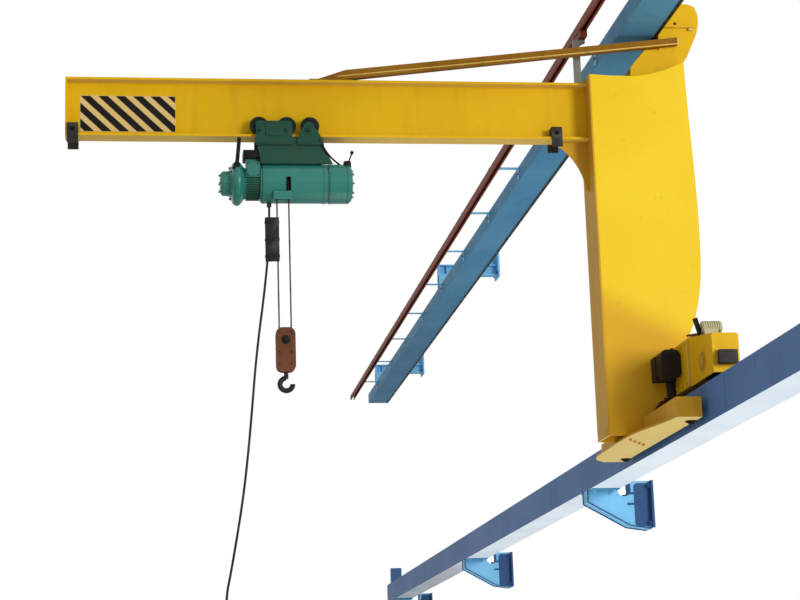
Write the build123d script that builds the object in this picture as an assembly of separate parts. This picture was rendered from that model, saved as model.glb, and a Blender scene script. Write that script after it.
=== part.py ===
# Wall-travelling jib crane on a two-beam runway.
# Millimetres. +X points to the building wall, +Y runs along the rails, +Z is up.
# X = 0 is the back face of the lower brackets, Z = 0 is the underside of the lower beam,
# Y = 0 is the middle of the second bracket.
import os
from math import atan2, degrees, tan, acos, sqrt
from build123d import *

os.makedirs("parts", exist_ok=True)

# Runway layout
BAY = 6000.0
BRACKET_Y = [-BAY, 0.0, BAY, 2 * BAY]
BEAM_OVERHANG = 750.0
Y_START = BRACKET_Y[0] - BEAM_OVERHANG
Y_END = BRACKET_Y[-1] + BEAM_OVERHANG

# Lower beam and its rail
LOW_X0, LOW_X1 = -520.0, -280.0
LOW_DEPTH = 250.0
LOW_WALL = 10.0
RAIL_W, RAIL_H = 40.0, 40.0
RAIL_X = (LOW_X0 + LOW_X1) / 2
RAIL_SETBACK = 60.0
STOP_SETBACK = 150.0
STOP_LEN = 90.0
STOP_H = 230.0
STOP_W = 150.0

# Upper beam
UP_X0, UP_X1 = -711.0, -423.0
UP_Z = 2900.0
UP_DEPTH = 130.0
UP_WALL = 8.0

# Lower brackets
BRK_TIP_H = 95.0
BRK_ROOT_X = -185.0
BRK_ROOT_Z = -285.0
BRK_BOTTOM_Z = -310.0
BRK_TOP_Z = 65.0
BRK_HALF_W = 80.0
BRK_PLATE = 12.0
BRK_BACK_T = 20.0
BRK_BACK_HALF_W = 130.0
BRK_NOTCH_R = 55.0
BOLT_R = 11.0
BOLT_DY = 210.0
BOLT_DZ = 290.0
BOLT_Z = -122.5

# Upper brackets
UBR_BACK_Z0, UBR_BACK_Z1 = 3170.0, 3560.0
UBR_ARM_Z0, UBR_ARM_Z1 = 3200.0, 3320.0
UBR_ARM_HALF_W = 60.0
UBR_HANGER_X0, UBR_HANGER_X1 = -690.0, -444.0
UBR_BOLT_Z = 3365.0

# Conductor rail
COND_X, COND_Z0 = -950.0, 2950.0
COND_W, COND_H = 56.0, 60.0
COND_WALL = 6.0
COND_SLOT = 24.0
HANGER_PITCH = 1500.0
HANGER_T = 8.0
HANGER_W = 50.0

# Crane: column
CRANE_Y = -2460.0
COL_HALF_W = 158.0
WEB_T = 10.0
COL_FRONT_X = -957.0
FRONT_T = 12.0
COL_BOTTOM_Z = 100.0
COL_TOP = [(-957.0, 2584.0), (-812.0, 2575.0), (-616.0, 2573.0), (-519.0, 2589.0),
           (-413.0, 2620.0), (-271.0, 2680.0)]
COL_BACK = [(-271.0, 2680.0), (-262.0, 2300.0), (-245.0, 1850.0), (-240.0, 1400.0),
            (-268.0, 1020.0), (-363.0, 716.0)]
BACK_T = 10.0
TOP_T = 12.0

# Crane: head above the column
HEAD_HALF_W = 60.0
HEAD_T = 12.0
HEAD_GAP = 10.0
HEAD_BACK = [(-271.0, 2680.0), (-241.0, 2716.0), (-215.0, 2750.0), (-135.0, 2925.0),
             (-117.0, 3000.0), (-117.0, 3075.0)]
HEAD_TOP_Z = 3150.0
HEAD_R = 70.0
ROLLER_TOP_R = 42.0
ROLLER_TOP_H = 60.0
SHELF_T = 10.0
RIB_OUT, RIB_Z = 26.0, 2968.0
RIB_X1 = -150.0
ROLLER_PIN_R = 12.0

# Crane: jib
JIB_TIP_X = -4530.0
JIB_TOP_Z = 2548.0
JIB_DEPTH = 410.0
JIB_W = 140.0
JIB_WEB_T = 10.0
JIB_FLANGE_T = 16.0
JIB_END_T = 12.0
JIB_BOTTOM_Z = JIB_TOP_Z - JIB_DEPTH
GUSSET_X0 = -1180.0
GUSSET_Z0 = 1780.0
GUSSET_T = 12.0
STOP_BLOCK_W = 74.0
STOP_BLOCK_Z0, STOP_BLOCK_Z1 = 2083.0, 2222.0
JIB_STOP_OUT_X = JIB_TIP_X + 1.0
JIB_STOP_IN_X = GUSSET_X0 - 41.0

# Crane: tie bar
TIE_W = 50.0
TIE_FOOT_X = -2860.0
TIE_HEEL_X = -2726.0
TIE_START = (-2645.0, 2623.0)
TIE_END = (-285.0, 2882.0)
TIE_DEPTH = 50.0
TIE_Y_JIB = -35.0
TIE_Y_HEAD = -83.0

# Crane: end carriage on the rail
CAR_W = 174.0
CAR_X0 = RAIL_X - CAR_W / 2
CAR_X1 = RAIL_X + CAR_W / 2
CAR_Z0 = 304.0
CAR_END_Z1 = 557.0
CAR_MID_Z1 = 640.0
CAR_HALF_L = 1072.0
CAR_MID_HALF_L = 548.0
CAR_T = 8.0
CAR_ROUND_R = 22.0
WHEEL_R = 125.0
WHEEL_FLANGE_R = 140.0
WHEEL_TREAD_W = 46.0
WHEEL_FLANGE_T = 18.0
WHEEL_AXLE_R = 25.0
WHEEL_Y = CAR_HALF_L - 222.0
WHEEL_SEAT = 0.3
BUFFER_T = 60.0
BUFFER_W = 116.0
BUFFER_Z0, BUFFER_Z1 = 355.0, 439.0
SADDLE_T = 12.0

# Crane: foot carriage with guide rollers against the lower beam
FOOT_X0, FOOT_X1 = -841.0, -562.0
FOOT_Z0, FOOT_Z1 = 32.0, 161.0
FOOT_HALF_L = 1014.0
FOOT_T = 10.0
GUIDE_R = 70.0
GUIDE_H = 70.0
GUIDE_PIN_R = 20.0
GUIDE_Y = FOOT_HALF_L - 164.0
FOOT_BOX_X0 = -725.0
FOOT_PLATE_T = 14.0

# Travel drive
DRIVE_X0 = -640.0
DRIVE_Z0, DRIVE_Z1 = 400.0, 560.0
GEAR_Y0, GEAR_Y1 = -262.0, -162.0
MOTOR_END_Y = -405.0
MOTOR_HALF_W = 66.0
MOTOR_Z0, MOTOR_Z1 = 394.0, 582.0
MOTOR_ROUND_R = 40.0
AUX_Y = -(CAR_HALF_L - 272.0)
AUX_R = 36.0

# Trolley on the jib's lower flange
TR_X0, TR_X1 = -3268.0, -3020.0
TR2_X0, TR2_X1 = -2988.0, -2822.0
TR_Z0, TR_Z1 = 2067.0, 2238.0
TR_PLATE_Y = 98.0
TR_PLATE_T = 12.0
TR_WHEEL_R = 55.0
TR_RIM_R = 64.0
TR_WHEELS_X = [-3243.0, -3056.0, -2898.0]
HANG_X0, HANG_X1 = -3255.0, -2804.0
HANG_Z0 = 1940.0
HANG_FLARE = 55.0

# Hoist
HOIST_Z = 1824.0
DRUM_X0, DRUM_X1 = -3228.0, -2800.0
DRUM_SHELL_R = 134.0
DRUM_SHELL_T = 7.0
DRUM_R = 90.0
REDUCER_X1 = -2612.0
HOIST_MOTOR_X0 = -3510.0
BOX_X0, BOX_X1 = -3338.0, -3245.0
LID_X0, LID_X1 = -3350.0, -3232.0
LID_Z0, LID_Z1 = 1984.0, 2036.0
GUIDE_HALF_W = 22.0
GUIDE_Z0 = 1686.0
ROPE_SLOT = 11.0

# Falls, sleeve, block and hook
FALL_R = 5.5
FALL_Y = -DRUM_R - FALL_R
FALL_X = -3094.0
GUIDE_X0, GUIDE_X1 = FALL_X - 62.0, FALL_X + 62.0
SHEAVE_PITCH_R = 40.0
SHEAVE_R = 46.0
SHEAVE_W = 26.0
SHEAVE_Z = 720.0
SLEEVE_Z0, SLEEVE_Z1 = 1262.0, 1560.0
SLEEVE_X0, SLEEVE_X1 = FALL_X - 122.0, FALL_X - 29.0
SLEEVE_D = 34.0
BLOCK_Z0, BLOCK_Z1 = 507.0, 805.0
BLOCK_W = 130.0
CHEEK_T = 14.0
CHEEK_GAP = 4.0
CROSS_H = 50.0
HOOK_Z = 425.0
HOOK_R = 42.0
HOOK_BAR_R = 17.0
SHANK_R = 15.0

# Pendant cable, from the gland under the hoist motor to the station
CABLE_R = 8.0
CABLE_X0 = -3180.0
GLAND_R = 16.0
GLAND_H = 30.0
MOTOR_BODY_R = 105.0
GLAND_Z0 = HOIST_Z - DRUM_SHELL_R - GLAND_H + 2.0
CABLE_PATH = [(-3180.0, 1450.0), (-3202.0, 1240.0), (-3229.0, 1015.0), (-3262.0, 790.0),
              (-3290.0, 560.0), (-3311.0, 335.0), (-3333.0, 110.0), (-3358.0, -115.0),
              (-3389.0, -342.0), (-3428.0, -568.0), (-3470.0, -795.0), (-3503.0, -945.0)]
STATION_TOP_Z = -1080.0
STATION_X = -3503.0
STATION_H = 250.0
STATION_W, STATION_D = 74.0, 60.0


def block(x0, x1, y0, y1, z0, z1):
    """A box between two corners."""
    return Pos((x0 + x1) / 2, (y0 + y1) / 2, (z0 + z1) / 2) * Box(
        abs(x1 - x0), abs(y1 - y0), abs(z1 - z0))


def prism_y(points, y0, y1):
    """A polygon given as (x, z), run from y0 to y1."""
    face = make_face(Polyline(*[(x, y0, z) for x, z in points], close=True))
    return extrude(face, amount=y1 - y0, dir=(0, 1, 0))


def prism_x(points, x0, x1):
    """A polygon given as (y, z), run from x0 to x1."""
    face = make_face(Polyline(*[(x0, y, z) for y, z in points], close=True))
    return extrude(face, amount=x1 - x0, dir=(1, 0, 0))


def rod_x(x0, x1, y, z, r):
    return Pos((x0 + x1) / 2, y, z) * Rot(0, 90, 0) * Cylinder(r, x1 - x0)


def rod_y(y0, y1, x, z, r):
    return Pos(x, (y0 + y1) / 2, z) * Rot(90, 0, 0) * Cylinder(r, y1 - y0)


def rod_z(z0, z1, x, y, r):
    return Pos(x, y, (z0 + z1) / 2) * Cylinder(r, z1 - z0)


def turned_x(profile, z):
    """A profile of (x, r) turned about the line along X at height z."""
    pts = [(profile[0][0], 0.0)] + profile + [(profile[-1][0], 0.0)]
    face = make_face(Polyline(*[(x, 0, z + r) for x, r in pts], close=True))
    return revolve(face, axis=Axis((0, 0, z), (1, 0, 0)), revolution_arc=360)


def save(name, *solids):
    shapes = []
    for s in solids:
        shapes += list(s.solids())
    part = shapes[0] if len(shapes) == 1 else Compound(children=shapes)
    export_step(part, "parts/" + name + ".step")
    print(name, len(shapes), "solids", round(sum(s.volume for s in shapes) / 1e3), "cm3")


# Runway: beams and rail
def hollow_beam(x0, x1, z0, z1, wall):
    return block(x0, x1, Y_START, Y_END, z0, z1) - block(
        x0 + wall, x1 - wall, Y_START - 1, Y_END + 1, z0 + wall, z1 - wall)


save("lower_runway_beam", hollow_beam(LOW_X0, LOW_X1, 0, LOW_DEPTH, LOW_WALL))
save("upper_runway_beam", hollow_beam(UP_X0, UP_X1, UP_Z, UP_Z + UP_DEPTH, UP_WALL))

RAIL_TOP = LOW_DEPTH + RAIL_H
rail_end0 = Y_START + STOP_SETBACK + RAIL_SETBACK
rail_end1 = Y_END - STOP_SETBACK - RAIL_SETBACK
save("travel_rail", block(RAIL_X - RAIL_W / 2, RAIL_X + RAIL_W / 2, rail_end0, rail_end1,
                          LOW_DEPTH, RAIL_TOP))


def runway_stop(y0, y1):
    return block(RAIL_X - STOP_W / 2, RAIL_X + STOP_W / 2, y0, y1,
                 LOW_DEPTH, LOW_DEPTH + STOP_H)


stop_y0 = Y_START + STOP_SETBACK - STOP_LEN
stop_y1 = Y_END - STOP_SETBACK
save("runway_stops", runway_stop(stop_y0, stop_y0 + STOP_LEN),
     runway_stop(stop_y1, stop_y1 + STOP_LEN))


# Lower brackets
def lower_bracket(y):
    side = [(LOW_X0, 0.0), (LOW_X0, -BRK_TIP_H), (BRK_ROOT_X, BRK_ROOT_Z), (0.0, BRK_BOTTOM_Z),
            (0.0, BRK_TOP_Z), (BRK_ROOT_X + 10, BRK_TOP_Z), (BRK_ROOT_X + 10, 0.0)]
    body = prism_y(side, y - BRK_HALF_W, y + BRK_HALF_W)
    core = [(LOW_X0 + BRK_PLATE, -BRK_PLATE), (LOW_X0 + BRK_PLATE, -BRK_TIP_H + 4.0),
            (BRK_ROOT_X, BRK_ROOT_Z + BRK_PLATE), (-BRK_BACK_T, BRK_BOTTOM_Z + BRK_PLATE),
            (-BRK_BACK_T, BRK_TOP_Z + 1.0), (BRK_ROOT_X + 22, BRK_TOP_Z + 1.0),
            (BRK_ROOT_X + 22, -BRK_PLATE)]
    body -= prism_y(core, y - BRK_HALF_W + BRK_PLATE, y + BRK_HALF_W - BRK_PLATE)
    notch_x = (LOW_X1 + BRK_ROOT_X + 10) / 2
    body -= rod_y(y - BRK_HALF_W - 1, y + BRK_HALF_W + 1, notch_x, 0.0, BRK_NOTCH_R)
    back = block(-BRK_BACK_T, 0, y - BRK_BACK_HALF_W, y + BRK_BACK_HALF_W,
                 BRK_BOTTOM_Z, BRK_TOP_Z)
    body += back
    for sy in (-1, 1):
        for sz in (-1, 1):
            body -= rod_x(-BRK_BACK_T - 1, 1, y + sy * BOLT_DY / 2, BOLT_Z + sz * BOLT_DZ / 2,
                          BOLT_R)
    return body


save("lower_brackets", *[lower_bracket(y) for y in BRACKET_Y])


# Upper brackets reach over the crane's head and hold the beam from above
def upper_bracket(y):
    w = UBR_ARM_HALF_W
    arm = block(UBR_HANGER_X0, -BRK_BACK_T, y - w, y + w, UBR_ARM_Z0, UBR_ARM_Z1)
    t = BRK_PLATE
    for s in (-1, 1):
        ya, yb = sorted((y + s * t / 2, y + s * (w + 1)))
        arm -= block(UBR_HANGER_X0 + t, -BRK_BACK_T, ya, yb, UBR_ARM_Z0 + t, UBR_ARM_Z1 - t)
    back = block(-BRK_BACK_T, 0, y - BRK_BACK_HALF_W, y + BRK_BACK_HALF_W,
                 UBR_BACK_Z0, UBR_BACK_Z1)
    brace = prism_y([(-BRK_BACK_T, UBR_ARM_Z1), (-BRK_BACK_T, UBR_BACK_Z1 - 15),
                     (UBR_HANGER_X1, UBR_ARM_Z1)], y - BRK_PLATE / 2, y + BRK_PLATE / 2)
    drop = block(UBR_HANGER_X0, UBR_HANGER_X1, y - w, y - w + BRK_PLATE,
                 UP_Z + UP_DEPTH, UBR_ARM_Z0)
    drop += block(UBR_HANGER_X0, UBR_HANGER_X1, y + w - BRK_PLATE, y + w,
                  UP_Z + UP_DEPTH, UBR_ARM_Z0)
    body = arm + back + brace + drop
    for sy in (-1, 1):
        for sz in (-1, 1):
            body -= rod_x(-BRK_BACK_T - 1, 1, y + sy * BOLT_DY / 2,
                          UBR_BOLT_Z + sz * BOLT_DZ / 2, BOLT_R)
    return body


save("upper_brackets", *[upper_bracket(y) for y in BRACKET_Y])


# Conductor rail and its hangers
def conductor_rail():
    x0, x1 = COND_X - COND_W / 2, COND_X + COND_W / 2
    body = block(x0, x1, Y_START, Y_END, COND_Z0, COND_Z0 + COND_H)
    body -= block(x0 + COND_WALL, x1 - COND_WALL, Y_START - 1, Y_END + 1,
                  COND_Z0 + COND_WALL, COND_Z0 + COND_H - COND_WALL)
    body -= block(COND_X - COND_SLOT / 2, COND_X + COND_SLOT / 2, Y_START - 1, Y_END + 1,
                  COND_Z0 - 1, COND_Z0 + COND_WALL + 1)
    return body


def conductor_hanger(y):
    top = COND_Z0 + COND_H
    arm = block(COND_X - COND_W / 2, UP_X0, y - HANGER_W / 2, y + HANGER_W / 2,
                top, top + HANGER_T)
    lug_z0 = UP_Z + 20.0
    lug = block(UP_X0 - HANGER_T, UP_X0, y - HANGER_W / 2, y + HANGER_W / 2,
                lug_z0, top + HANGER_T)
    return arm + lug


hangers = []
hy = Y_START + BEAM_OVERHANG / 2
while hy < Y_END:
    hangers.append(conductor_hanger(hy))
    hy += HANGER_PITCH
save("conductor_rail", conductor_rail())
save("conductor_hangers", *hangers)


# Crane pieces are drawn about Y = 0 and moved to the crane's resting place
def crane(name, *solids):
    save(name, *[Pos(0, CRANE_Y, 0) * s for s in solids])


# Column: webs, flanges, closing plates
SADDLE_X = CAR_X0 - SADDLE_T
foot_top = FOOT_Z0 + FOOT_PLATE_T


def top_z(x):
    """Height of the column's top edge at x."""
    for (xa, za), (xb, zb) in zip(COL_TOP[:-1], COL_TOP[1:]):
        if xa <= x <= xb:
            return za + (zb - za) * (x - xa) / (xb - xa)
    return COL_TOP[-1][1]


def column_web(y0, y1):
    inner_x = COL_FRONT_X + FRONT_T
    top = [(inner_x, top_z(inner_x))] + COL_TOP[1:]
    low = [(COL_BACK[-1][0], CAR_MID_Z1), (SADDLE_X, CAR_MID_Z1), (SADDLE_X, CAR_Z0),
           (FOOT_X1, CAR_Z0), (FOOT_X1, FOOT_Z1), (FOOT_BOX_X0, FOOT_Z1),
           (FOOT_BOX_X0, foot_top), (FOOT_X0 + 15, foot_top),
           (inner_x, COL_BOTTOM_Z)]
    run = [(x, y0, z) for x, z in low + top]
    edges = Polyline(*([(COL_BACK[-1][0], y0, COL_BACK[-1][1])] + run))
    curve = Spline(*[(x, y0, z) for x, z in COL_BACK])
    face = make_face([curve, edges])
    return extrude(face, amount=y1 - y0, dir=(0, 1, 0))


def curved_back(y0, y1):
    x_low, z_low = COL_BACK[-1]
    x_top, z_top = COL_BACK[0]
    inner_top = (x_top - BACK_T, y0, top_z(x_top - BACK_T))
    outer = Spline(*[(x, y0, z) for x, z in COL_BACK])
    inner = Spline(*([inner_top] + [(x - BACK_T, y0, z) for x, z in COL_BACK[1:]]))
    base = Polyline((x_low, y0, z_low), (x_low, y0, CAR_MID_Z1),
                    (x_low - BACK_T, y0, CAR_MID_Z1), (x_low - BACK_T, y0, z_low))
    lid = Line((x_top, y0, z_top), inner_top)
    face = make_face([outer, base, inner, lid])
    return extrude(face, amount=y1 - y0, dir=(0, 1, 0))


inner_w = COL_HALF_W - WEB_T
crane("column_webs", column_web(-COL_HALF_W, -inner_w), column_web(inner_w, COL_HALF_W))
crane("column_front_flange", block(COL_FRONT_X, COL_FRONT_X + FRONT_T, -COL_HALF_W, COL_HALF_W,
                                   COL_BOTTOM_Z, COL_TOP[0][1]))
crane("column_back_flange", curved_back(-inner_w, inner_w))


def column_top_plate():
    first_x = COL_FRONT_X + FRONT_T
    last_x = COL_TOP[-1][0] - BACK_T
    upper = [(first_x, top_z(first_x))] + COL_TOP[1:-1] + [(last_x, top_z(last_x))]
    lower = [(x, z - TOP_T) for x, z in reversed(upper)]
    return prism_y(upper + lower, -inner_w, inner_w)


crane("column_end_plates", column_top_plate(),
      block(COL_FRONT_X + FRONT_T, FOOT_X0, -inner_w, inner_w, COL_BOTTOM_Z,
            COL_BOTTOM_Z + TOP_T))


# Head: two plates, a curved back, and shelves for the upper guide roller
HEAD_X0 = UP_X1 + HEAD_GAP


def head_outline(inset):
    back = [(x - inset, z) for x, z in HEAD_BACK]
    x_end = back[-1][0]
    r = HEAD_R
    corner = [(x_end - 0.29 * r, HEAD_TOP_Z - 0.29 * r - inset), (x_end - r, HEAD_TOP_Z - inset)]
    front = [(HEAD_X0 + r, HEAD_TOP_Z - inset), (HEAD_X0 + 0.29 * r, HEAD_TOP_Z - 0.29 * r - inset),
             (HEAD_X0, HEAD_TOP_Z - r)]
    return back, corner, front


def head_plate(y0, y1):
    back, corner, front = head_outline(0.0)
    foot = [(HEAD_X0, top_z(HEAD_X0))]
    return prism_y(back + corner + front + foot, y0, y1)


def head_back():
    back, corner, _ = head_outline(0.0)
    back_in, corner_in, _ = head_outline(HEAD_T)
    x0, z0 = back_in[0]
    back_in[0] = (x0, top_z(x0))
    ring = back + corner + list(reversed(corner_in)) + list(reversed(back_in))
    return prism_y(ring, -HEAD_HALF_W + HEAD_T, HEAD_HALF_W - HEAD_T)


ROLLER_TOP_X = UP_X1 + ROLLER_TOP_R
ROLLER_TOP_Z = UP_Z + UP_DEPTH / 2
shelf_lo = ROLLER_TOP_Z - ROLLER_TOP_H / 2 - 4.0
shelf_hi = ROLLER_TOP_Z + ROLLER_TOP_H / 2 + 4.0


def shelf(z0, z1):
    return block(HEAD_X0 + 4, -170.0, -HEAD_HALF_W + HEAD_T, HEAD_HALF_W - HEAD_T, z0, z1)


def side_rib():
    """A short rib on the near plate, above the tie bar's end."""
    return block(HEAD_X0 + 10, RIB_X1, -HEAD_HALF_W - RIB_OUT, -HEAD_HALF_W,
                 RIB_Z, RIB_Z + SHELF_T)


crane("column_head", head_plate(-HEAD_HALF_W, -HEAD_HALF_W + HEAD_T)
      + head_plate(HEAD_HALF_W - HEAD_T, HEAD_HALF_W) + head_back()
      + shelf(shelf_lo - SHELF_T, shelf_lo) + shelf(shelf_hi, shelf_hi + SHELF_T) + side_rib())
roller_x = ROLLER_TOP_X + 0.3
crane("upper_guide_roller",
      rod_z(ROLLER_TOP_Z - ROLLER_TOP_H / 2, ROLLER_TOP_Z + ROLLER_TOP_H / 2, roller_x, 0,
            ROLLER_TOP_R) + rod_z(shelf_lo, shelf_hi, roller_x, 0, ROLLER_PIN_R))


# Jib: rolled section, end plate, root gusset, stops
def jib_section():
    web = block(JIB_TIP_X, COL_FRONT_X, -JIB_WEB_T / 2, JIB_WEB_T / 2, JIB_BOTTOM_Z, JIB_TOP_Z)
    low = block(JIB_TIP_X, COL_FRONT_X, -JIB_W / 2, JIB_W / 2, JIB_BOTTOM_Z,
                JIB_BOTTOM_Z + JIB_FLANGE_T)
    top = block(JIB_TIP_X, COL_FRONT_X, -JIB_W / 2, JIB_W / 2, JIB_TOP_Z - JIB_FLANGE_T,
                JIB_TOP_Z)
    end = block(JIB_TIP_X - JIB_END_T, JIB_TIP_X, -JIB_W / 2, JIB_W / 2, JIB_BOTTOM_Z,
                JIB_TOP_Z)
    return web + low + top + end


crane("jib_beam", jib_section())


def root_gusset():
    y0 = -GUSSET_T / 2
    a, b = (GUSSET_X0, JIB_BOTTOM_Z), (COL_FRONT_X, GUSSET_Z0)
    mid = (GUSSET_X0 + 130.0, JIB_BOTTOM_Z - 150.0)
    arc = ThreePointArc((a[0], y0, a[1] - 20), (mid[0], y0, mid[1]), (b[0] - 20, y0, b[1]))
    lines = Polyline((b[0] - 20, y0, b[1]), (b[0], y0, b[1]), (b[0], y0, JIB_BOTTOM_Z),
                     (a[0], y0, a[1]), (a[0], y0, a[1] - 20))
    return extrude(make_face([arc, lines]), amount=GUSSET_T, dir=(0, 1, 0))


crane("jib_root_gusset", root_gusset())


def jib_stop(x):
    """A rubber-faced angle on each side of the lower flange, hanging below it."""
    made = []
    for s in (-1, 1):
        y_a, y_b = s * JIB_WEB_T / 2, s * (JIB_W / 2 + 14.0)
        upper = block(x, x + STOP_BLOCK_W, min(y_a, y_b), max(y_a, y_b),
                      JIB_BOTTOM_Z + JIB_FLANGE_T, STOP_BLOCK_Z1)
        y_c = s * (JIB_W / 2)
        lip = block(x, x + STOP_BLOCK_W, min(y_c, y_b), max(y_c, y_b), STOP_BLOCK_Z0,
                    STOP_BLOCK_Z1)
        made.append(upper + lip)
    return made


crane("jib_stops", *(jib_stop(JIB_STOP_OUT_X) + jib_stop(JIB_STOP_IN_X)))


# Tie bar from the jib's top to the near head plate
def tie_bar():
    slope = (TIE_END[1] - TIE_START[1]) / (TIE_END[0] - TIE_START[0])
    low_end = TIE_END[1] - TIE_DEPTH
    pts = [(TIE_FOOT_X, JIB_TOP_Z), TIE_START, TIE_END, (TIE_END[0], low_end),
           (TIE_HEEL_X, JIB_TOP_Z)]
    bar = prism_y(pts, -TIE_W / 2, TIE_W / 2)
    turn = degrees(atan2(TIE_Y_HEAD - TIE_Y_JIB, TIE_END[0] - TIE_FOOT_X))
    bar = Pos(TIE_FOOT_X, TIE_Y_JIB, 0) * Rot(0, 0, turn) * Pos(-TIE_FOOT_X, 0, 0) * bar
    return bar - block(HEAD_X0 - 20, 0, -HEAD_HALF_W, 0, JIB_TOP_Z, HEAD_TOP_Z)


crane("tie_bar", tie_bar())


# End carriage: open-bottomed box, deeper in the middle
def carriage_outline(t):
    l0, l1 = CAR_HALF_L - t, CAR_MID_HALF_L - t * 0.15
    z0, z1, z2 = CAR_Z0 - (1.0 if t else 0.0), CAR_END_Z1 - t, CAR_MID_Z1 - t
    return [(-l0, z0), (-l0, z1), (-l1, z2), (l1, z2), (l0, z1), (l0, z0)]


def end_carriage():
    shell = prism_x(carriage_outline(0.0), CAR_X0, CAR_X1)
    long_edges = [e for e in shell.edges() if e.center().Z > CAR_END_Z1 - 1
                  and min(abs(e.center().X - CAR_X0), abs(e.center().X - CAR_X1)) < 0.1]
    shell = fillet(long_edges, CAR_ROUND_R)
    shell -= prism_x(carriage_outline(CAR_T), CAR_X0 + CAR_T, CAR_X1 - CAR_T)
    return shell + block(SADDLE_X, CAR_X0, -CAR_MID_HALF_L, CAR_MID_HALF_L, CAR_Z0,
                         CAR_MID_Z1 - CAR_ROUND_R)


crane("end_carriage", end_carriage())


def carriage_buffer(s):
    y_a, y_b = s * CAR_HALF_L, s * (CAR_HALF_L + BUFFER_T)
    return block(RAIL_X - BUFFER_W / 2, RAIL_X + BUFFER_W / 2, min(y_a, y_b), max(y_a, y_b),
                 BUFFER_Z0, BUFFER_Z1)


crane("carriage_buffers", carriage_buffer(-1), carriage_buffer(1))


def travel_wheel(y):
    z = RAIL_TOP + WHEEL_R + WHEEL_SEAT
    h = WHEEL_TREAD_W / 2
    f = h + WHEEL_FLANGE_T
    a = CAR_W / 2 - CAR_T
    pts = [(-a, WHEEL_AXLE_R), (-f, WHEEL_AXLE_R), (-f, WHEEL_FLANGE_R), (-h, WHEEL_FLANGE_R),
           (-h, WHEEL_R), (h, WHEEL_R), (h, WHEEL_FLANGE_R), (f, WHEEL_FLANGE_R),
           (f, WHEEL_AXLE_R), (a, WHEEL_AXLE_R)]
    return Pos(0, y, 0) * turned_x([(RAIL_X + x, r) for x, r in pts], z)


crane("travel_wheels", travel_wheel(-WHEEL_Y), travel_wheel(WHEEL_Y))


# Foot carriage and guide rollers
def foot_carriage():
    """A box beam along the rail on a wide bottom plate with a curved outer edge."""
    box = block(FOOT_BOX_X0, FOOT_X1, -FOOT_HALF_L, FOOT_HALF_L, FOOT_Z0, FOOT_Z1)
    box -= block(FOOT_BOX_X0 + FOOT_T, FOOT_X1 + 1, -FOOT_HALF_L + FOOT_T, FOOT_HALF_L - FOOT_T,
                 foot_top, FOOT_Z1 - FOOT_T)
    z, end = FOOT_Z0, FOOT_HALF_L
    bow = Spline((FOOT_BOX_X0, -end, z), (FOOT_BOX_X0 - 22, -0.8 * end, z),
                 (FOOT_X0 + 10, -0.3 * end, z), (FOOT_X0, 0.15 * end, z),
                 (FOOT_X0 + 6, 0.6 * end, z), (FOOT_X0 + 70, 0.92 * end, z),
                 (FOOT_BOX_X0 + 30, end, z))
    rest = Polyline((FOOT_BOX_X0 + 30, end, z), (FOOT_X1, end, z), (FOOT_X1, -end, z),
                    (FOOT_BOX_X0, -end, z))
    return box + extrude(make_face([bow, rest]), amount=FOOT_PLATE_T, dir=(0, 0, 1))


crane("foot_carriage", foot_carriage())


def guide_roller(y):
    x = LOW_X0 - GUIDE_R - 0.3
    mid = (FOOT_Z0 + FOOT_Z1) / 2
    return rod_z(mid - GUIDE_H / 2, mid + GUIDE_H / 2, x, y, GUIDE_R) + rod_z(
        foot_top, FOOT_Z1 - FOOT_T, x, y, GUIDE_PIN_R)


crane("lower_guide_rollers", guide_roller(-GUIDE_Y), guide_roller(GUIDE_Y))

# Travel drive on the saddle plate
drive_x = (DRIVE_X0 + SADDLE_X) / 2
motor = block(drive_x - MOTOR_HALF_W, drive_x + MOTOR_HALF_W, MOTOR_END_Y, GEAR_Y0,
              MOTOR_Z0, MOTOR_Z1)
motor = fillet(motor.edges().filter_by(Axis.Y), MOTOR_ROUND_R)
crane("travel_drive", block(DRIVE_X0, SADDLE_X, GEAR_Y0, GEAR_Y1, DRIVE_Z0, DRIVE_Z1) + motor)


def slope_z(y):
    """Height of the end carriage's top at y."""
    run = CAR_HALF_L - CAR_MID_HALF_L
    return CAR_END_Z1 + (CAR_MID_Z1 - CAR_END_Z1) * (CAR_HALF_L - abs(y)) / run


def aux_motor():
    ya, yb = AUX_Y - AUX_R, AUX_Y + AUX_R
    z_mid = slope_z(AUX_Y) + AUX_R + 12.0
    base = prism_x([(ya, slope_z(ya)), (ya, z_mid), (yb, z_mid), (yb, slope_z(yb))],
                   CAR_X0 + 30, CAR_X0 + 120)
    return base + rod_x(CAR_X0 + 20, CAR_X0 + 150, AUX_Y, z_mid, AUX_R)


crane("brake_unit", aux_motor())

# Collector post and shoe
POST_X0, POST_X1 = -1010.0, -965.0
post = block(POST_X0, POST_X1, 20.0, 60.0, JIB_TOP_Z, 2900.0)
post += block(POST_X0, COND_X + 25, 20.0, 60.0, 2880.0, 2900.0)
crane("collector_post", post)
crane("current_collector", block(COND_X - 25, COND_X + 25, -60.0, 140.0, 2900.0, COND_Z0 - 5.0)
      + block(COND_X - 6, COND_X + 6, 0.0, 80.0, COND_Z0 - 6.0, COND_Z0 + 20.0))


# Trolley
def wheel_y(x, s):
    z = JIB_BOTTOM_Z + JIB_FLANGE_T + TR_WHEEL_R + WHEEL_SEAT
    rim0 = JIB_W / 2 + 4.0
    tread = rod_y(JIB_W / 2 - 36.0, rim0, x, z, TR_WHEEL_R)
    rim = rod_y(rim0, rim0 + 12.0, x, z, TR_RIM_R)
    hub = rod_y(rim0 + 12.0, TR_PLATE_Y, x, z, 24.0)
    wheel = tread + rim + hub
    return wheel if s > 0 else mirror(wheel, about=Plane.XZ)


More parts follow.
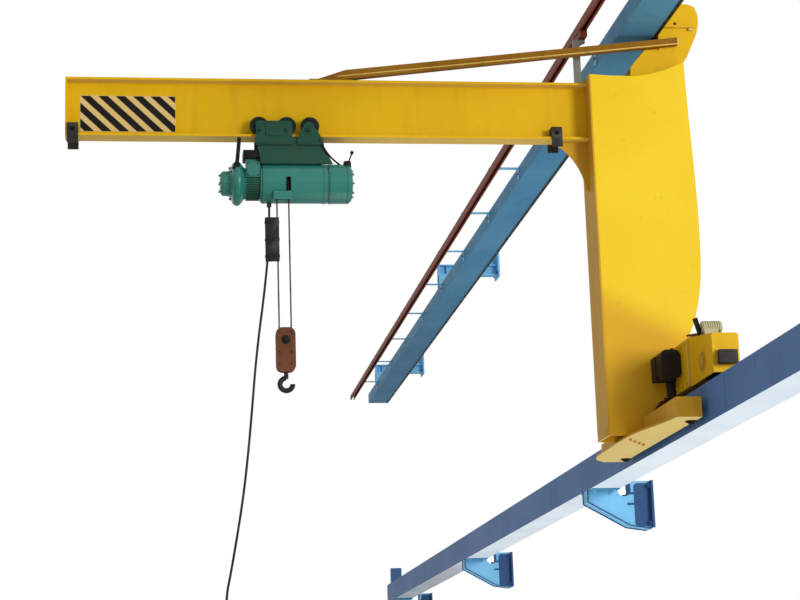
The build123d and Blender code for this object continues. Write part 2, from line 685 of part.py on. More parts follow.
def trolley_plates(s):
    y0, y1 = TR_PLATE_Y, TR_PLATE_Y + TR_PLATE_T
    if s < 0:
        y0, y1 = -y1, -y0
    left = prism_y([(TR_X0, TR_Z0), (TR_X1, TR_Z0), (TR_X1, TR_Z1 - 12), (TR_X1 - 12, TR_Z1),
                    (TR_X0 + 12, TR_Z1), (TR_X0, TR_Z1 - 12)], y0, y1)
    mid, top = (TR2_X0 + TR2_X1) / 2, TR_Z1 - 7
    right = prism_y([(TR2_X0, TR_Z0), (TR2_X1, TR_Z0), (TR2_X1, TR_Z1 - 118),
                     (mid + 50, TR_Z1 - 60), (mid + 24, top - 9), (mid + 6, top),
                     (mid - 12, top), (mid - 30, top - 10), (mid - 54, TR_Z1 - 62),
                     (TR2_X0, TR_Z1 - 125)], y0, y1)
    return [left, right]


crane("trolley_plates", *(trolley_plates(-1) + trolley_plates(1)))
crane("trolley_wheels", *[wheel_y(x, s) for x in TR_WHEELS_X for s in (-1, 1)])


def hanger_frame():
    y0, y1 = TR_PLATE_Y - 12.0, TR_PLATE_Y
    top = JIB_BOTTOM_Z - 12.0
    side = [(HANG_X0, TR_Z0 - 10), (HANG_X0 + 10, top), (HANG_X1 - 10, top),
            (HANG_X1, TR_Z0 - 10), (HANG_X1 + HANG_FLARE, HANG_Z0), (HANG_X0 + 20, HANG_Z0)]
    body = prism_y(side, y0, y1) + prism_y(side, -y1, -y0)
    body += block(HANG_X0 + 14, HANG_X1 - 14, -y0, y0, HANG_Z0 + 20, HANG_Z0 + 34)
    return body - rod_x(HANG_X0 - 1, HANG_X1 + 1, 0, HOIST_Z, DRUM_SHELL_R)


crane("hanger_frame", hanger_frame())


# Hoist: drum housing, drum, motor, reducer
def drum_housing():
    body = rod_x(DRUM_X0, DRUM_X1, 0, HOIST_Z, DRUM_SHELL_R)
    body -= rod_x(DRUM_X0 + 10, DRUM_X1 - 10, 0, HOIST_Z, DRUM_SHELL_R - DRUM_SHELL_T)
    body -= block(GUIDE_X0 + 8, GUIDE_X1 - 8, FALL_Y - ROPE_SLOT, FALL_Y + ROPE_SLOT,
                  HOIST_Z - DRUM_SHELL_R - 1, HOIST_Z - 20)
    body -= block(FALL_X + SHEAVE_PITCH_R - ROPE_SLOT, FALL_X + SHEAVE_PITCH_R + ROPE_SLOT,
                  -DRUM_SHELL_R - 1, FALL_Y + ROPE_SLOT, HOIST_Z - DRUM_SHELL_R,
                  HOIST_Z + 14)
    cradle = block(HANG_X0 + 30, HANG_X1 - 30, -60, 60, HOIST_Z + 100, HANG_Z0 + 20)
    cradle -= rod_x(DRUM_X0 - 60, DRUM_X1 + 60, 0, HOIST_Z, DRUM_SHELL_R - 2)
    return body + cradle


crane("drum_housing", drum_housing())
crane("rope_drum", rod_x(DRUM_X0 + 10, DRUM_X1 - 10, 0, HOIST_Z, DRUM_R))
crane("hoist_motor", turned_x([(HOIST_MOTOR_X0, 58), (HOIST_MOTOR_X0 + 8, 76),
                               (HOIST_MOTOR_X0 + 20, 84), (-3450, 86), (-3436, 112),
                               (-3424, 138), (-3408, 150), (-3392, 152), (-3378, 146),
                               (-3362, 128), (-3350, 112), (-3343, MOTOR_BODY_R),
                               (-3240, MOTOR_BODY_R), (-3240, 128), (DRUM_X0, 128)], HOIST_Z))
crane("hoist_reducer", turned_x([(DRUM_X1, 134), (DRUM_X1 + 14, 134), (DRUM_X1 + 14, 124),
                                 (DRUM_X1 + 22, 124), (DRUM_X1 + 22, 136),
                                 (REDUCER_X1 - 26, 134), (REDUCER_X1 - 8, 118),
                                 (REDUCER_X1, 80)], HOIST_Z))


def control_box():
    """Terminal box over the motor, with a junction box on a neck above it."""
    body = block(BOX_X0, BOX_X1, -118, 70, HOIST_Z + 16, HOIST_Z + 121)
    body -= rod_x(BOX_X0 - 1, BOX_X1 + 1, 0, HOIST_Z, MOTOR_BODY_R)
    body += block(BOX_X0, BOX_X0 + 76, -60, 30, HOIST_Z + 121, LID_Z0)
    return body + block(LID_X0, LID_X1, -80, 50, LID_Z0, LID_Z1)


crane("control_box", control_box())


def rope_guide():
    """A slotted block under the drum housing, shaped to its round."""
    body = block(GUIDE_X0, GUIDE_X1, FALL_Y - GUIDE_HALF_W, FALL_Y + GUIDE_HALF_W,
                 GUIDE_Z0, HOIST_Z - 80)
    body -= rod_x(DRUM_X0 - 1, DRUM_X1 + 1, 0, HOIST_Z, DRUM_SHELL_R)
    return body - block(GUIDE_X0 + 8, GUIDE_X1 - 8, FALL_Y - ROPE_SLOT, FALL_Y + ROPE_SLOT,
                        GUIDE_Z0 - 1, HOIST_Z)


crane("hoist_rope_guide", rope_guide())

# Rope falls and the sleeve around them
fall_a, fall_b = FALL_X - SHEAVE_PITCH_R, FALL_X + SHEAVE_PITCH_R
crane("rope_falls", rod_z(SHEAVE_Z, HOIST_Z, fall_a, FALL_Y, FALL_R),
      rod_z(SHEAVE_Z, HOIST_Z, fall_b, FALL_Y, FALL_R))
crane("rope_sleeve", block(SLEEVE_X0, SLEEVE_X1, FALL_Y - SLEEVE_D / 2, FALL_Y + SLEEVE_D / 2,
                           SLEEVE_Z0, SLEEVE_Z1)
      - rod_z(SLEEVE_Z0 - 1, SLEEVE_Z1 + 1, fall_a, FALL_Y, FALL_R + 0.4))


# Hook block
def cheek(s):
    y0 = SHEAVE_W / 2 + CHEEK_GAP
    y1 = y0 + CHEEK_T
    if s < 0:
        y0, y1 = -y1, -y0
    w = BLOCK_W / 2
    body = block(FALL_X - w, FALL_X + w, FALL_Y + y0, FALL_Y + y1, BLOCK_Z0, BLOCK_Z1)
    upright = [e for e in body.edges().filter_by(Axis.Y)]
    return fillet(upright, 44.0)


block_body = cheek(-1) + cheek(1)
half_in = SHEAVE_W / 2 + CHEEK_GAP
block_body += block(FALL_X - 46, FALL_X + 46, FALL_Y - half_in, FALL_Y + half_in,
                    BLOCK_Z0 + 8, BLOCK_Z0 + 8 + CROSS_H)
crane("hook_block", block_body)
sheave = rod_y(FALL_Y - SHEAVE_W / 2, FALL_Y + SHEAVE_W / 2, FALL_X, SHEAVE_Z,
               SHEAVE_PITCH_R - FALL_R - 0.5)
pin = rod_y(FALL_Y - half_in, FALL_Y + half_in, FALL_X, SHEAVE_Z, 14.0)
crane("block_sheave", sheave + pin)
bight = Pos(FALL_X, FALL_Y, SHEAVE_Z) * Rot(90, 0, 0) * Torus(SHEAVE_PITCH_R, FALL_R)
bight -= block(FALL_X - 60, FALL_X + 60, FALL_Y - 20, FALL_Y + 20, SHEAVE_Z, SHEAVE_Z + 60)
crane("rope_bight", bight)


# Hook: shank, bowl and tip
def hook():
    shank_z1 = BLOCK_Z0 + 8
    shank = rod_z(HOOK_Z + HOOK_R - 4, shank_z1, FALL_X, FALL_Y, SHANK_R)
    circle = Plane(origin=(FALL_X, FALL_Y, HOOK_Z + HOOK_R), x_dir=(0, 1, 0),
                   z_dir=(1, 0, 0)) * Circle(HOOK_BAR_R)
    axis = Axis((FALL_X, FALL_Y, HOOK_Z), (0, 1, 0))
    bowl = revolve(circle, axis=axis, revolution_arc=-270)
    return shank + bowl


crane("crane_hook", hook())


# Pendant cable: straight runs joined by tangent arcs, then the hanging station
def cable_points():
    first = (CABLE_X0, 0.0, GLAND_Z0)
    last = (STATION_X, 0.0, STATION_TOP_Z)
    return [first] + [(x, 0.0, z) for x, z in CABLE_PATH] + [last]


def cable_radii(points):
    radii = []
    for a, b, c in zip(points[:-2], points[1:-1], points[2:]):
        u, v = Vector(*b) - Vector(*a), Vector(*c) - Vector(*b)
        turn = acos(max(-1.0, min(1.0, u.normalized().dot(v.normalized()))))
        radii.append(0.45 * min(u.length, v.length) / tan(turn / 2))
    return radii


route = cable_points()
bends = cable_radii(route)
print("cable bends", [round(r) for r in bends])
cable_line = FilletPolyline(*route, radius=bends)
cable = sweep(Plane(origin=cable_line @ 0, z_dir=cable_line % 0) * Circle(CABLE_R),
              path=cable_line)
crane("pendant_cable", cable)
crane("cable_gland", rod_z(GLAND_Z0, HOIST_Z - DRUM_SHELL_R + 8, CABLE_X0, 0, GLAND_R)
      - rod_x(CABLE_X0 - 40, CABLE_X0 + 40, 0, HOIST_Z, DRUM_SHELL_R))
station = block(STATION_X - STATION_W / 2, STATION_X + STATION_W / 2, -STATION_D / 2,
                STATION_D / 2, STATION_TOP_Z - STATION_H, STATION_TOP_Z)
crane("pendant_station", fillet(station.edges().filter_by(Axis.Z), 14.0))
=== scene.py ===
"""Looks of the wall-travelling jib crane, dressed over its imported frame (metres)."""
from __future__ import annotations

import logging
from collections.abc import Iterable
from dataclasses import dataclass
from enum import Enum
from itertools import product

import bmesh
import bpy
import numpy as np
from mathutils import Matrix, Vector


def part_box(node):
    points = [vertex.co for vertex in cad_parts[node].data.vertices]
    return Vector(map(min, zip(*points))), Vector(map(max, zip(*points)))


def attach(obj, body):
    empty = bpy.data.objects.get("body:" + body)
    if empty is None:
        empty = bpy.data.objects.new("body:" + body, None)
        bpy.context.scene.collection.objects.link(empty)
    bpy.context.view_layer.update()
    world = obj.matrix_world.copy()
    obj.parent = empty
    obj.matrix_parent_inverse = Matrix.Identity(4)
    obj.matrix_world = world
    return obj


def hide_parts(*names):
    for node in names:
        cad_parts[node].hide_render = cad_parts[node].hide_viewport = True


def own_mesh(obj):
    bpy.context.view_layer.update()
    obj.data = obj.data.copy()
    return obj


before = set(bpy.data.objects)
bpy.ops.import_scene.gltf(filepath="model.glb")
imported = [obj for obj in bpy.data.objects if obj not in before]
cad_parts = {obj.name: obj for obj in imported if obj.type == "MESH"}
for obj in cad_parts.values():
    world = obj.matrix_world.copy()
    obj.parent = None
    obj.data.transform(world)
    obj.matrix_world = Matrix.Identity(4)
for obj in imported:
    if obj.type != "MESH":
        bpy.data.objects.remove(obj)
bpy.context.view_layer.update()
LOG = logging.getLogger("jib_crane")
CRANE_Y = -2.46  # the middle plane of the column, jib and hoist
ROPE_X, ROPE_Y = -3.094, CRANE_Y - 0.0955  # the line midway between the two falls
SIDES = (-1, 1)
X_AXIS, Y_AXIS, Z_AXIS = np.eye(3)


# Shader maths
class Val:
    """One output socket that takes part in written sums as Math nodes."""

    def __init__(self, recipe: Recipe, socket: bpy.types.NodeSocket) -> None:
        """Keeps the recipe that owns the socket."""
        self.recipe, self.socket = recipe, socket

    def _math(self, operation: str, first: Val | float, second: Val | float) -> Val:
        """Adds a Math node of that operation and gives its result."""
        return self.recipe.node("ShaderNodeMath", "Value", {0: first, 1: second},
                                operation=operation)

    def __add__(self, other: Val | float) -> Val:
        """Sum."""
        return self._math("ADD", self, other)

    def __sub__(self, other: Val | float) -> Val:
        """Difference."""
        return self._math("SUBTRACT", self, other)

    def __rsub__(self, other: float) -> Val:
        """Difference with the plain number on the left."""
        return self._math("SUBTRACT", other, self)

    def __mul__(self, other: Val | float) -> Val:
        """Product."""
        return self._math("MULTIPLY", self, other)

    def clipped(self) -> Val:
        """The value held between 0 and 1."""
        return self._math("MAXIMUM", self._math("MINIMUM", self, 1.0), 0.0)


class Recipe:
    """A material in the making, with its Principled shader and Object coordinates."""

    def __init__(self, name: str) -> None:
        """Makes an empty material.

        Args:
            name: Name of the material.
        """
        self.material = bpy.data.materials.new(name)
        self.material.use_nodes = True
        self.tree = self.material.node_tree
        self.shader = self.tree.nodes["Principled BSDF"]
        self.where = self.node("ShaderNodeTexCoord", "Object", {})

    def node(self, kind: str, output: str | int, inputs: dict, **settings: str) -> Val:
        """Adds a node.

        Args:
            kind: Node type.
            output: Name or number of the wanted output.
            inputs: Values or Vals by input name or number.
            settings: Attributes of the node, which are set first.
        Returns:
            The wanted output.
        """
        made = self.tree.nodes.new(kind)
        for key, value in settings.items():
            setattr(made, key, value)
        for key, value in inputs.items():
            self.put(value, made.inputs[key])
        return Val(self, made.outputs[output])

    def put(self, value: Val | float | tuple, socket: bpy.types.NodeSocket) -> None:
        """Links a Val to a socket, or sets the socket to a plain value.

        Args:
            value: Val, number, vector or colour.
            socket: Input of a node.
        """
        if isinstance(value, Val):
            self.tree.links.new(value.socket, socket)
        else:
            socket.default_value = value

    def noise(self, scale: float, stretch: tuple[float, float, float] = (1, 1, 1),
              detail: float = 4.0) -> Val:
        """Noise over Object coordinates.

        Args:
            scale: Cells per metre.
            stretch: Factor of the scale along each axis.
            detail: Octaves.
        Returns:
            The noise's value, 0 to 1.
        """
        place = self.node("ShaderNodeMapping", "Vector", {"Vector": self.where, "Scale": stretch})
        return self.node("ShaderNodeTexNoise", "Fac", {
            "Vector": place, "Scale": scale, "Detail": detail})

    def part(self, vector: Val, axis: str) -> Val:
        """The X, Y or Z of a vector."""
        return self.node("ShaderNodeSeparateXYZ", axis, {0: vector})

    def edge(self, value: Val, low: float, high: float) -> Val:
        """A soft step of the value from 0 at low to 1 at high."""
        return self.node("ShaderNodeMapRange", "Result", {
            "Value": value, "From Min": low, "From Max": high}, interpolation_type="SMOOTHSTEP")

    def mix(self, mask: Val | float, first: Val | tuple, second: Val | tuple) -> Val:
        """Colour that goes from first to second with the mask."""
        return self.node("ShaderNodeMix", 2, {0: mask, 6: first, 7: second}, data_type="RGBA")

    def feed(self, **sockets: Val | float | tuple) -> None:
        """Links or sets inputs of the shader, underscores standing for spaces."""
        for key, value in sockets.items():
            self.put(value, self.shader.inputs[key.replace("_", " ")])

    def bump(self, height: Val, strength: float, distance: float) -> None:
        """Feeds a Bump node into the shader's normal."""
        self.feed(Normal=self.node("ShaderNodeBump", "Normal", {
            "Height": height, "Strength": strength, "Distance": distance}))


def linear(red: int, green: int, blue: int) -> tuple[float, float, float, float]:
    """An sRGB colour of 0 to 255 as linear light."""
    parts = [c / 255 for c in (red, green, blue)]
    return (*[p / 12.92 if p < 0.04045 else ((p + 0.055) / 1.055) ** 2.4 for p in parts], 1.0)


# Finishes
@dataclass(frozen=True)
class Paint:
    """Sprayed or brushed paint on steel: mottle, run-down dirt, chips to primer and rust.

    Colours are sRGB, 0 to 255. Below painted_shade_line, a height in metres, painted shade
    turns the paint to painted_shade_colour, and painted light turns faces that point down
    to painted_underside_light.
    """

    name: str
    colour: tuple
    faded: tuple
    dirt: float = 0.5
    chips: float = 0.35
    roughness: float = 0.42
    coat: float = 0.0
    gloss: float = 0.08
    painted_shade_line: float | None = None
    painted_underside_light: tuple | None = None
    dirt_colour: tuple = (66, 54, 38)
    rust_colour: tuple = (104, 56, 26)
    painted_shade_colour: tuple = (214, 154, 32)

    def dress(self) -> bpy.types.Material:
        """Builds the material.

        Returns:
            The material, named after the finish.
        """
        mat = Recipe(f"{self.name}_finish")
        cloud = mat.edge(mat.noise(1.3, detail=5.0), 0.32, 0.68)
        colour = mat.mix(cloud * 0.75, linear(*self.colour), linear(*self.faded))
        streak = mat.edge(mat.noise(2.2, (6.0, 6.0, 0.45), 6.0), 0.52, 0.80)
        speck = mat.edge(mat.noise(26.0, detail=6.0), 0.60, 0.74)
        soil = (streak * 0.7 + speck * 0.5) * self.dirt
        colour = mat.mix(soil.clipped() * 0.8, colour, linear(*self.dirt_colour))
        # Painted shade: darker towards painted_shade_colour below a soft line that rises towards
        # the wall.
        if self.painted_shade_line is not None:
            wave = mat.noise(2.4, detail=2.0) * 0.16
            height = mat.part(mat.where, "Z") + wave + mat.part(mat.where, "X") * 0.5
            low = 1.0 - mat.edge(height, self.painted_shade_line, self.painted_shade_line + 0.24)
            colour = mat.mix(low * 0.75, colour, linear(*self.painted_shade_colour))
        # Painted light: faces that point down turn pale towards painted_underside_light, as if lit
        # from below.
        if self.painted_underside_light is not None:
            up = mat.part(mat.node("ShaderNodeNewGeometry", "Normal", {}), "Z")
            pale = mat.edge(0.0 - up, 0.5, 0.9) * (1.0 - cloud * 0.15)
            colour = mat.mix(pale * 0.97, colour, linear(*self.painted_underside_light))
        scratch = mat.edge(mat.noise(9.0, (1.0, 0.5, 5.0), 8.0), 0.70, 0.735)
        flake = mat.edge(mat.noise(17.0, detail=9.0), 0.685, 0.70)
        chip = ((scratch * 0.6 + flake) * self.chips).clipped()
        colour = mat.mix(chip, colour, linear(*self.rust_colour))
        rough = (soil * 0.35 + chip * 0.3 + mat.noise(60.0, detail=2.0) * 0.12
                 + (self.roughness - 0.06))
        mat.feed(Base_Color=colour, Roughness=rough.clipped(), Specular_IOR_Level=self.gloss,
                 Coat_Weight=(1.0 - soil).clipped() * self.coat)
        skin = mat.noise(210.0, detail=2.0) * 0.25 + mat.noise(9.0) * 0.5 - chip * 0.6
        mat.bump(skin, 0.35, 0.0016)
        return mat.material


@dataclass(frozen=True)
class Metal:
    """Cast, rolled or machined metal with grease, tarnish and fine grain; colours in sRGB."""

    name: str
    colour: tuple
    tarnish: tuple
    metallic: float = 0.8
    roughness: float = 0.42
    grain: tuple = (1.0, 1.0, 1.0)
    grain_scale: float = 90.0
    gloss: float = 0.2

    def dress(self) -> bpy.types.Material:
        """Builds the material.

        Returns:
            The material, named after the finish.
        """
        mat, tarnish = Recipe(f"{self.name}_finish"), linear(*self.tarnish)
        spots = mat.edge(mat.noise(11.0, detail=7.0), 0.42, 0.66)
        fine = mat.noise(self.grain_scale, self.grain, 4.0)
        colour = mat.mix(spots * 0.8, linear(*self.colour), tarnish)
        colour = mat.mix(mat.edge(fine, 0.55, 0.8) * 0.4, colour, tarnish)
        mat.feed(Base_Color=colour, Metallic=(1.0 - spots * 0.5) * self.metallic,
                 Specular_IOR_Level=self.gloss,
                 Roughness=(fine * 0.25 + spots * 0.25 + (self.roughness - 0.1)).clipped())
        mat.bump(fine + spots * 0.4, 0.4, 0.0012)
        return mat.material


@dataclass(frozen=True)
class Rubber:
    """Rubber or moulded plastic with dust in its texture and scuffs; colours in sRGB."""

    name: str
    colour: tuple
    dust_colour: tuple = (120, 112, 100)
    roughness: float = 0.6
    dust: float = 0.3
    gloss: float = 0.2

    def dress(self) -> bpy.types.Material:
        """Builds the material.

        Returns:
            The material, named after the finish.
        """
        mat = Recipe(f"{self.name}_finish")
        grain = mat.noise(380.0, detail=3.0)
        dusty = mat.edge(mat.noise(8.0, detail=6.0), 0.45, 0.75)
        scuff = mat.edge(mat.noise(30.0, (1.0, 1.0, 4.0), 6.0), 0.66, 0.72)
        mat.feed(Base_Color=mat.mix((dusty * self.dust + scuff * 0.25).clipped(),
                                    linear(*self.colour), linear(*self.dust_colour)),
                 Specular_IOR_Level=self.gloss,
                 Roughness=(grain * 0.2 + scuff * 0.1 + (self.roughness - 0.1)).clipped())
        mat.bump(grain * 0.6 + scuff * 0.4, 0.3, 0.0006)
        return mat.material


class Look(Enum):
    """Every finish of the crane."""

    # The pale colours given for faces that point down are painted light.
    JIB = Paint("jib_yellow", (224, 178, 16), (214, 166, 14), dirt=0.22, chips=0.14, coat=0.04,
                painted_underside_light=(222, 186, 88))
    # The column's webs carry painted shade towards their foot.
    COLUMN = Paint("column_yellow", (238, 202, 38), (230, 190, 26), dirt=0.12, chips=0.10,
                   coat=0.04, painted_shade_line=0.50)
    EDGE = Paint("flange_yellow", (206, 156, 44), (188, 140, 46), dirt=0.35, chips=0.25,
                 gloss=0.03, painted_underside_light=(216, 192, 116))
    # The tie bar's ochre is painted shade: the crane's yellow as it looks in shadow.
    OCHRE = Paint("tie_bar_ochre", (158, 110, 32), (134, 90, 28), chips=0.3, gloss=0.03)
    # The pale lip colour is a painted highlight on edges that catch the light.
    LIP = Paint("tie_bar_lip_highlight", (224, 190, 104), (208, 172, 80), dirt=0.3)
    BEAM = Paint("beam_blue", (78, 112, 160), (90, 126, 172), dirt=0.35, chips=0.16,
                 gloss=0.02, painted_underside_light=(232, 242, 250))
    UPPER_BEAM = Paint("upper_beam_blue", (72, 134, 172), (88, 148, 184), dirt=0.35,
                       chips=0.16, gloss=0.02)
    BRACKET = Paint("bracket_blue", (134, 202, 242), (116, 188, 232), dirt=0.2, chips=0.14)
    # Dark blue: painted shade on the brackets' edge flanges, and a darker back part.
    BRACKET_DARK = Paint("bracket_dark_blue", (58, 92, 142), (44, 78, 124), dirt=0.3, chips=0.2)
    SADDLE = Paint("saddle_teal", (76, 152, 190), (60, 132, 172), dirt=0.3, chips=0.2)
    HOIST = Paint("hoist_green", (36, 122, 108), (28, 100, 88), dirt=0.30, chips=0.15,
                  roughness=0.26, gloss=0.45)
    HOIST_DARK = Paint("hoist_dark_green", (40, 82, 64), (26, 62, 48), chips=0.2, coat=0.04)
    POST = Paint("post_grey", (134, 136, 126), (112, 114, 106))
    MOTOR = Paint("motor_grey", (36, 32, 31), (48, 42, 38), dirt=0.4)
    SILVER = Paint("brake_silver", (198, 196, 156), (176, 172, 138), coat=0.12)
    BROWN = Paint("block_brown", (112, 66, 42), (82, 50, 34), dirt=0.6, chips=0.5, coat=0.12)
    MAROON = Paint("guard_maroon", (96, 26, 30), (70, 20, 24), coat=0.12)
    WHITE = Paint("panel_cream", (226, 194, 128), (212, 176, 100), dirt=0.16, chips=0.05)
    BLACK = Paint("panel_black", (22, 20, 18), (32, 28, 24), dirt=0.2, chips=0.05, gloss=0.1)
    WHEEL = Metal("wheel_iron", (24, 30, 28), (14, 17, 17), metallic=0.2, roughness=0.5)
    # Dark strips that stand in for shadow in gaps and slots: painted shadow.
    GREASE = Metal("painted_shadow_strip", (26, 30, 34), (14, 16, 18), metallic=0.5, roughness=0.4)
    RAIL = Metal("rail_steel", (150, 146, 138), (98, 70, 48), metallic=0.9, roughness=0.35,
                 grain=(1.0, 0.05, 1.0))
    BOLT = Metal("bolt_zinc", (150, 150, 146), (96, 84, 66), metallic=0.85, roughness=0.38)
    WIRE = Metal("wire_rope_steel", (76, 74, 72), (32, 30, 28), metallic=0.7, roughness=0.5)
    FORGED = Metal("forged_black", (44, 44, 44), (22, 22, 22), metallic=0.5, roughness=0.5)
    RUBBER = Rubber("stop_rubber", (34, 32, 30))
    SLEEVE = Rubber("sleeve_rubber", (24, 24, 26))
    CABLE = Rubber("cable_jacket", (24, 24, 24), dust=0.2)
    PLASTIC = Rubber("station_plastic", (34, 34, 36), dust=0.2)
    CONDUCTOR = Rubber("conductor_brown", (116, 50, 30), (140, 86, 56))
    RED = Rubber("button_red", (170, 26, 22), dust=0.1)
    GREEN = Rubber("button_green", (30, 120, 60), dust=0.1)

    @property
    def material(self) -> bpy.types.Material:
        """The material, built once."""
        return bpy.data.materials.get(f"{self.value.name}_finish") or self.value.dress()


# Surfaces
def placed(name: str, data: bpy.types.ID) -> bpy.types.Object:
    """Makes an object of the scene.

    Args:
        name: Name of the object.
        data: Mesh, curve, lamp or camera that it holds.
    Returns:
        The new object.
    """
    made = bpy.data.objects.new(name, data)
    bpy.context.scene.collection.objects.link(made)
    return made


@dataclass
class Shell:
    """Closed surfaces as arrays: points, four-sided faces and end caps."""

    points: np.ndarray
    quads: np.ndarray
    caps: list

    def flipped_y(self, about: float) -> Shell:
        """The shell mirrored in the plane y = about; its normals are mended when built."""
        points = self.points * np.array([1, -1, 1]) + np.array([0, 2 * about, 0])
        return Shell(points, self.quads, self.caps)

    def build(self, name: str, look: Look, body: str, slot: str) -> bpy.types.Object:
        """Makes the shell an object of the scene.

        Args:
            name: Name of the piece.
            look: Its finish.
            body: CAD body it rides on.
            slot: Material slot of the record; not used.
        Returns:
            The new object.
        """
        mesh = bpy.data.meshes.new(name)
        faces = self.quads.tolist() + [c.tolist() for c in self.caps]
        mesh.from_pydata(self.points.tolist(), [], faces)
        work = bmesh.new()
        work.from_mesh(mesh)
        bmesh.ops.recalc_face_normals(work, faces=work.faces)
        work.to_mesh(mesh)
        work.free()
        mesh.shade_smooth()
        mesh.set_sharp_from_angle(angle=0.6)
        mesh.materials.append(look.material)
        made = placed(name, mesh)
        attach(made, body)
        LOG.info("%s: %d faces on %s", name, len(faces), body)
        return made


def lattice(points: np.ndarray) -> Shell:
    """A grid of rings as a closed shell.

    Face (i, j) joins ring i to ring i+1 between places j and j+1, the last place
    joins the first, and the two end rings are capped.

    Args:
        points: The rings' points, as an array of (rings, around, 3).
    Returns:
        The closed shell.
    """
    rings, around = points.shape[:2]
    index = np.arange(rings * around).reshape(rings, around)
    nxt = np.roll(index, -1, axis=1)
    quads = np.stack((index[:-1], nxt[:-1], nxt[1:], index[1:]), axis=-1).reshape(-1, 4)
    return Shell(points.reshape(-1, 3), quads, [index[0][::-1].copy(), index[-1].copy()])


def turned(profile: list, origin: tuple, axis: np.ndarray, around: int = 32) -> Shell:
    """Surface of revolution.

    Point (i, j) = origin + s_i * axis + r_i * (cos t_j * e1 + sin t_j * e2).

    Args:
        profile: Pairs of distance along the axis and radius.
        origin: Where the distance is zero.
        axis: Unit vector of the axis.
        around: Places around it.
    Returns:
        The closed shell.
    """
    along, radius = np.array(profile, float).T
    e1 = np.cross(axis, X_AXIS if abs(axis[0]) < 0.9 else Z_AXIS)
    e1 /= np.linalg.norm(e1)
    e2 = np.cross(axis, e1)
    angle = np.linspace(0, 2 * np.pi, around, endpoint=False)
    circle = np.cos(angle)[:, None] * e1 + np.sin(angle)[:, None] * e2
    return lattice(np.array(origin) + along[:, None, None] * axis
                   + radius[:, None, None] * circle[None])


def plate(outline: np.ndarray | list, low: float, high: float, bevel: float = 0.002,
          axis: int = 1) -> Shell:
    """An outline carried along an axis, its ends drawn in by a bevel.

    Ring i is the outline scaled towards its middle by 1 - inset_i / half size, at height h_i.

    Args:
        outline: Corner points in the two other axes, in axis order.
        low: Where it starts along the axis.
        high: Where it ends.
        bevel: Width of the bevel at both ends.
        axis: 0, 1 or 2.
    Returns:
        The closed shell.
    """
    flat = np.array(outline, float)
    middle = (flat.max(0) + flat.min(0)) / 2
    half = (flat.max(0) - flat.min(0)) / 2
    heights = np.array([low, low + bevel, high - bevel, high])
    scale = 1 - np.array([1, 0, 0, 1])[:, None, None] * (bevel / half)[None, None]
    rings = middle + (flat[None] - middle) * scale
    return lattice(np.insert(rings, axis, heights[:, None], axis=2))


def rounded(width: float, depth: float, corner: float, steps: int = 4) -> np.ndarray:
    """Outline of a rectangle with arc corners, centred on zero.

    Each corner is a quarter circle, turned a quarter further than the one before.

    Args:
        width: Size along the first axis.
        depth: Size along the second axis.
        corner: Radius of the corners.
        steps: Points of each corner.
    Returns:
        The outline's points.
    """
    angle = np.linspace(0, np.pi / 2, steps)
    arc = corner * (np.cos(angle) + 1j * np.sin(angle))
    x, y = width / 2 - corner, depth / 2 - corner
    middles = (complex(x, y), complex(-x, y), complex(-x, -y), complex(x, -y))
    flat = np.concatenate([arc * 1j ** k + middle for k, middle in enumerate(middles)])
    return np.stack((flat.real, flat.imag), axis=1)


def slab(low: tuple, high: tuple, bevel: float = 0.003) -> Shell:
    """A box with softened corners, as a rounded outline run along Z.

    Args:
        low: Its lowest corner.
        high: Its highest corner.
        bevel: Width of the softened edges, less on a thin box.
    Returns:
        The closed shell.
    """
    size = np.array(high) - np.array(low)
    mid = (np.array(high) + np.array(low)) / 2
    corner = min(bevel * 1.5, size[0] * 0.3, size[1] * 0.3)
    outline = rounded(size[0], size[1], corner, 3) + mid[:2]
    return plate(outline, low[2], high[2], min(bevel, size[2] * 0.3), 2)


def tube(path: np.ndarray, radius: float | np.ndarray, around: int = 12, lobes: int = 0,
         lay: float = 0.1) -> Shell:
    """A round or stranded section carried along a path.

    With lobes, the radius at angle t is radius * (0.84 + 0.16 * |cos(lobes * (t - twist) / 2)|)
    and the twist grows by one turn for each lay length.

    Args:
        path: Points of the middle line.
        radius: Outer radius, one for all or one for each point.
        around: Places around the section.
        lobes: Strands of the rope, 0 for a round section.
        lay: Length of one turn of the strands.
    Returns:
        The closed shell.
    """
    path = np.array(path, float)
    along = np.gradient(path, axis=0)
    along /= np.linalg.norm(along, axis=1)[:, None]
    e1 = np.cross(along, Y_AXIS)
    thin = np.linalg.norm(e1, axis=1) < 1e-3
    e1[thin] = X_AXIS
    e1 /= np.linalg.norm(e1, axis=1)[:, None]
    e2 = np.cross(along, e1)
    angle = np.linspace(0, 2 * np.pi, around, endpoint=False)[None]
    size = np.broadcast_to(np.reshape(radius, (-1, 1)), (len(path), around))
    if lobes:
        run = np.concatenate(([0], np.cumsum(np.linalg.norm(np.diff(path, axis=0), axis=1))))
        twist = 2 * np.pi * run[:, None] / lay
        size = size * (0.84 + 0.16 * np.abs(np.cos(lobes * (angle - twist) / 2)))
    ring = np.cos(angle)[..., None] * e1[:, None] + np.sin(angle)[..., None] * e2[:, None]
    return lattice(path[:, None] + size[..., None] * ring)


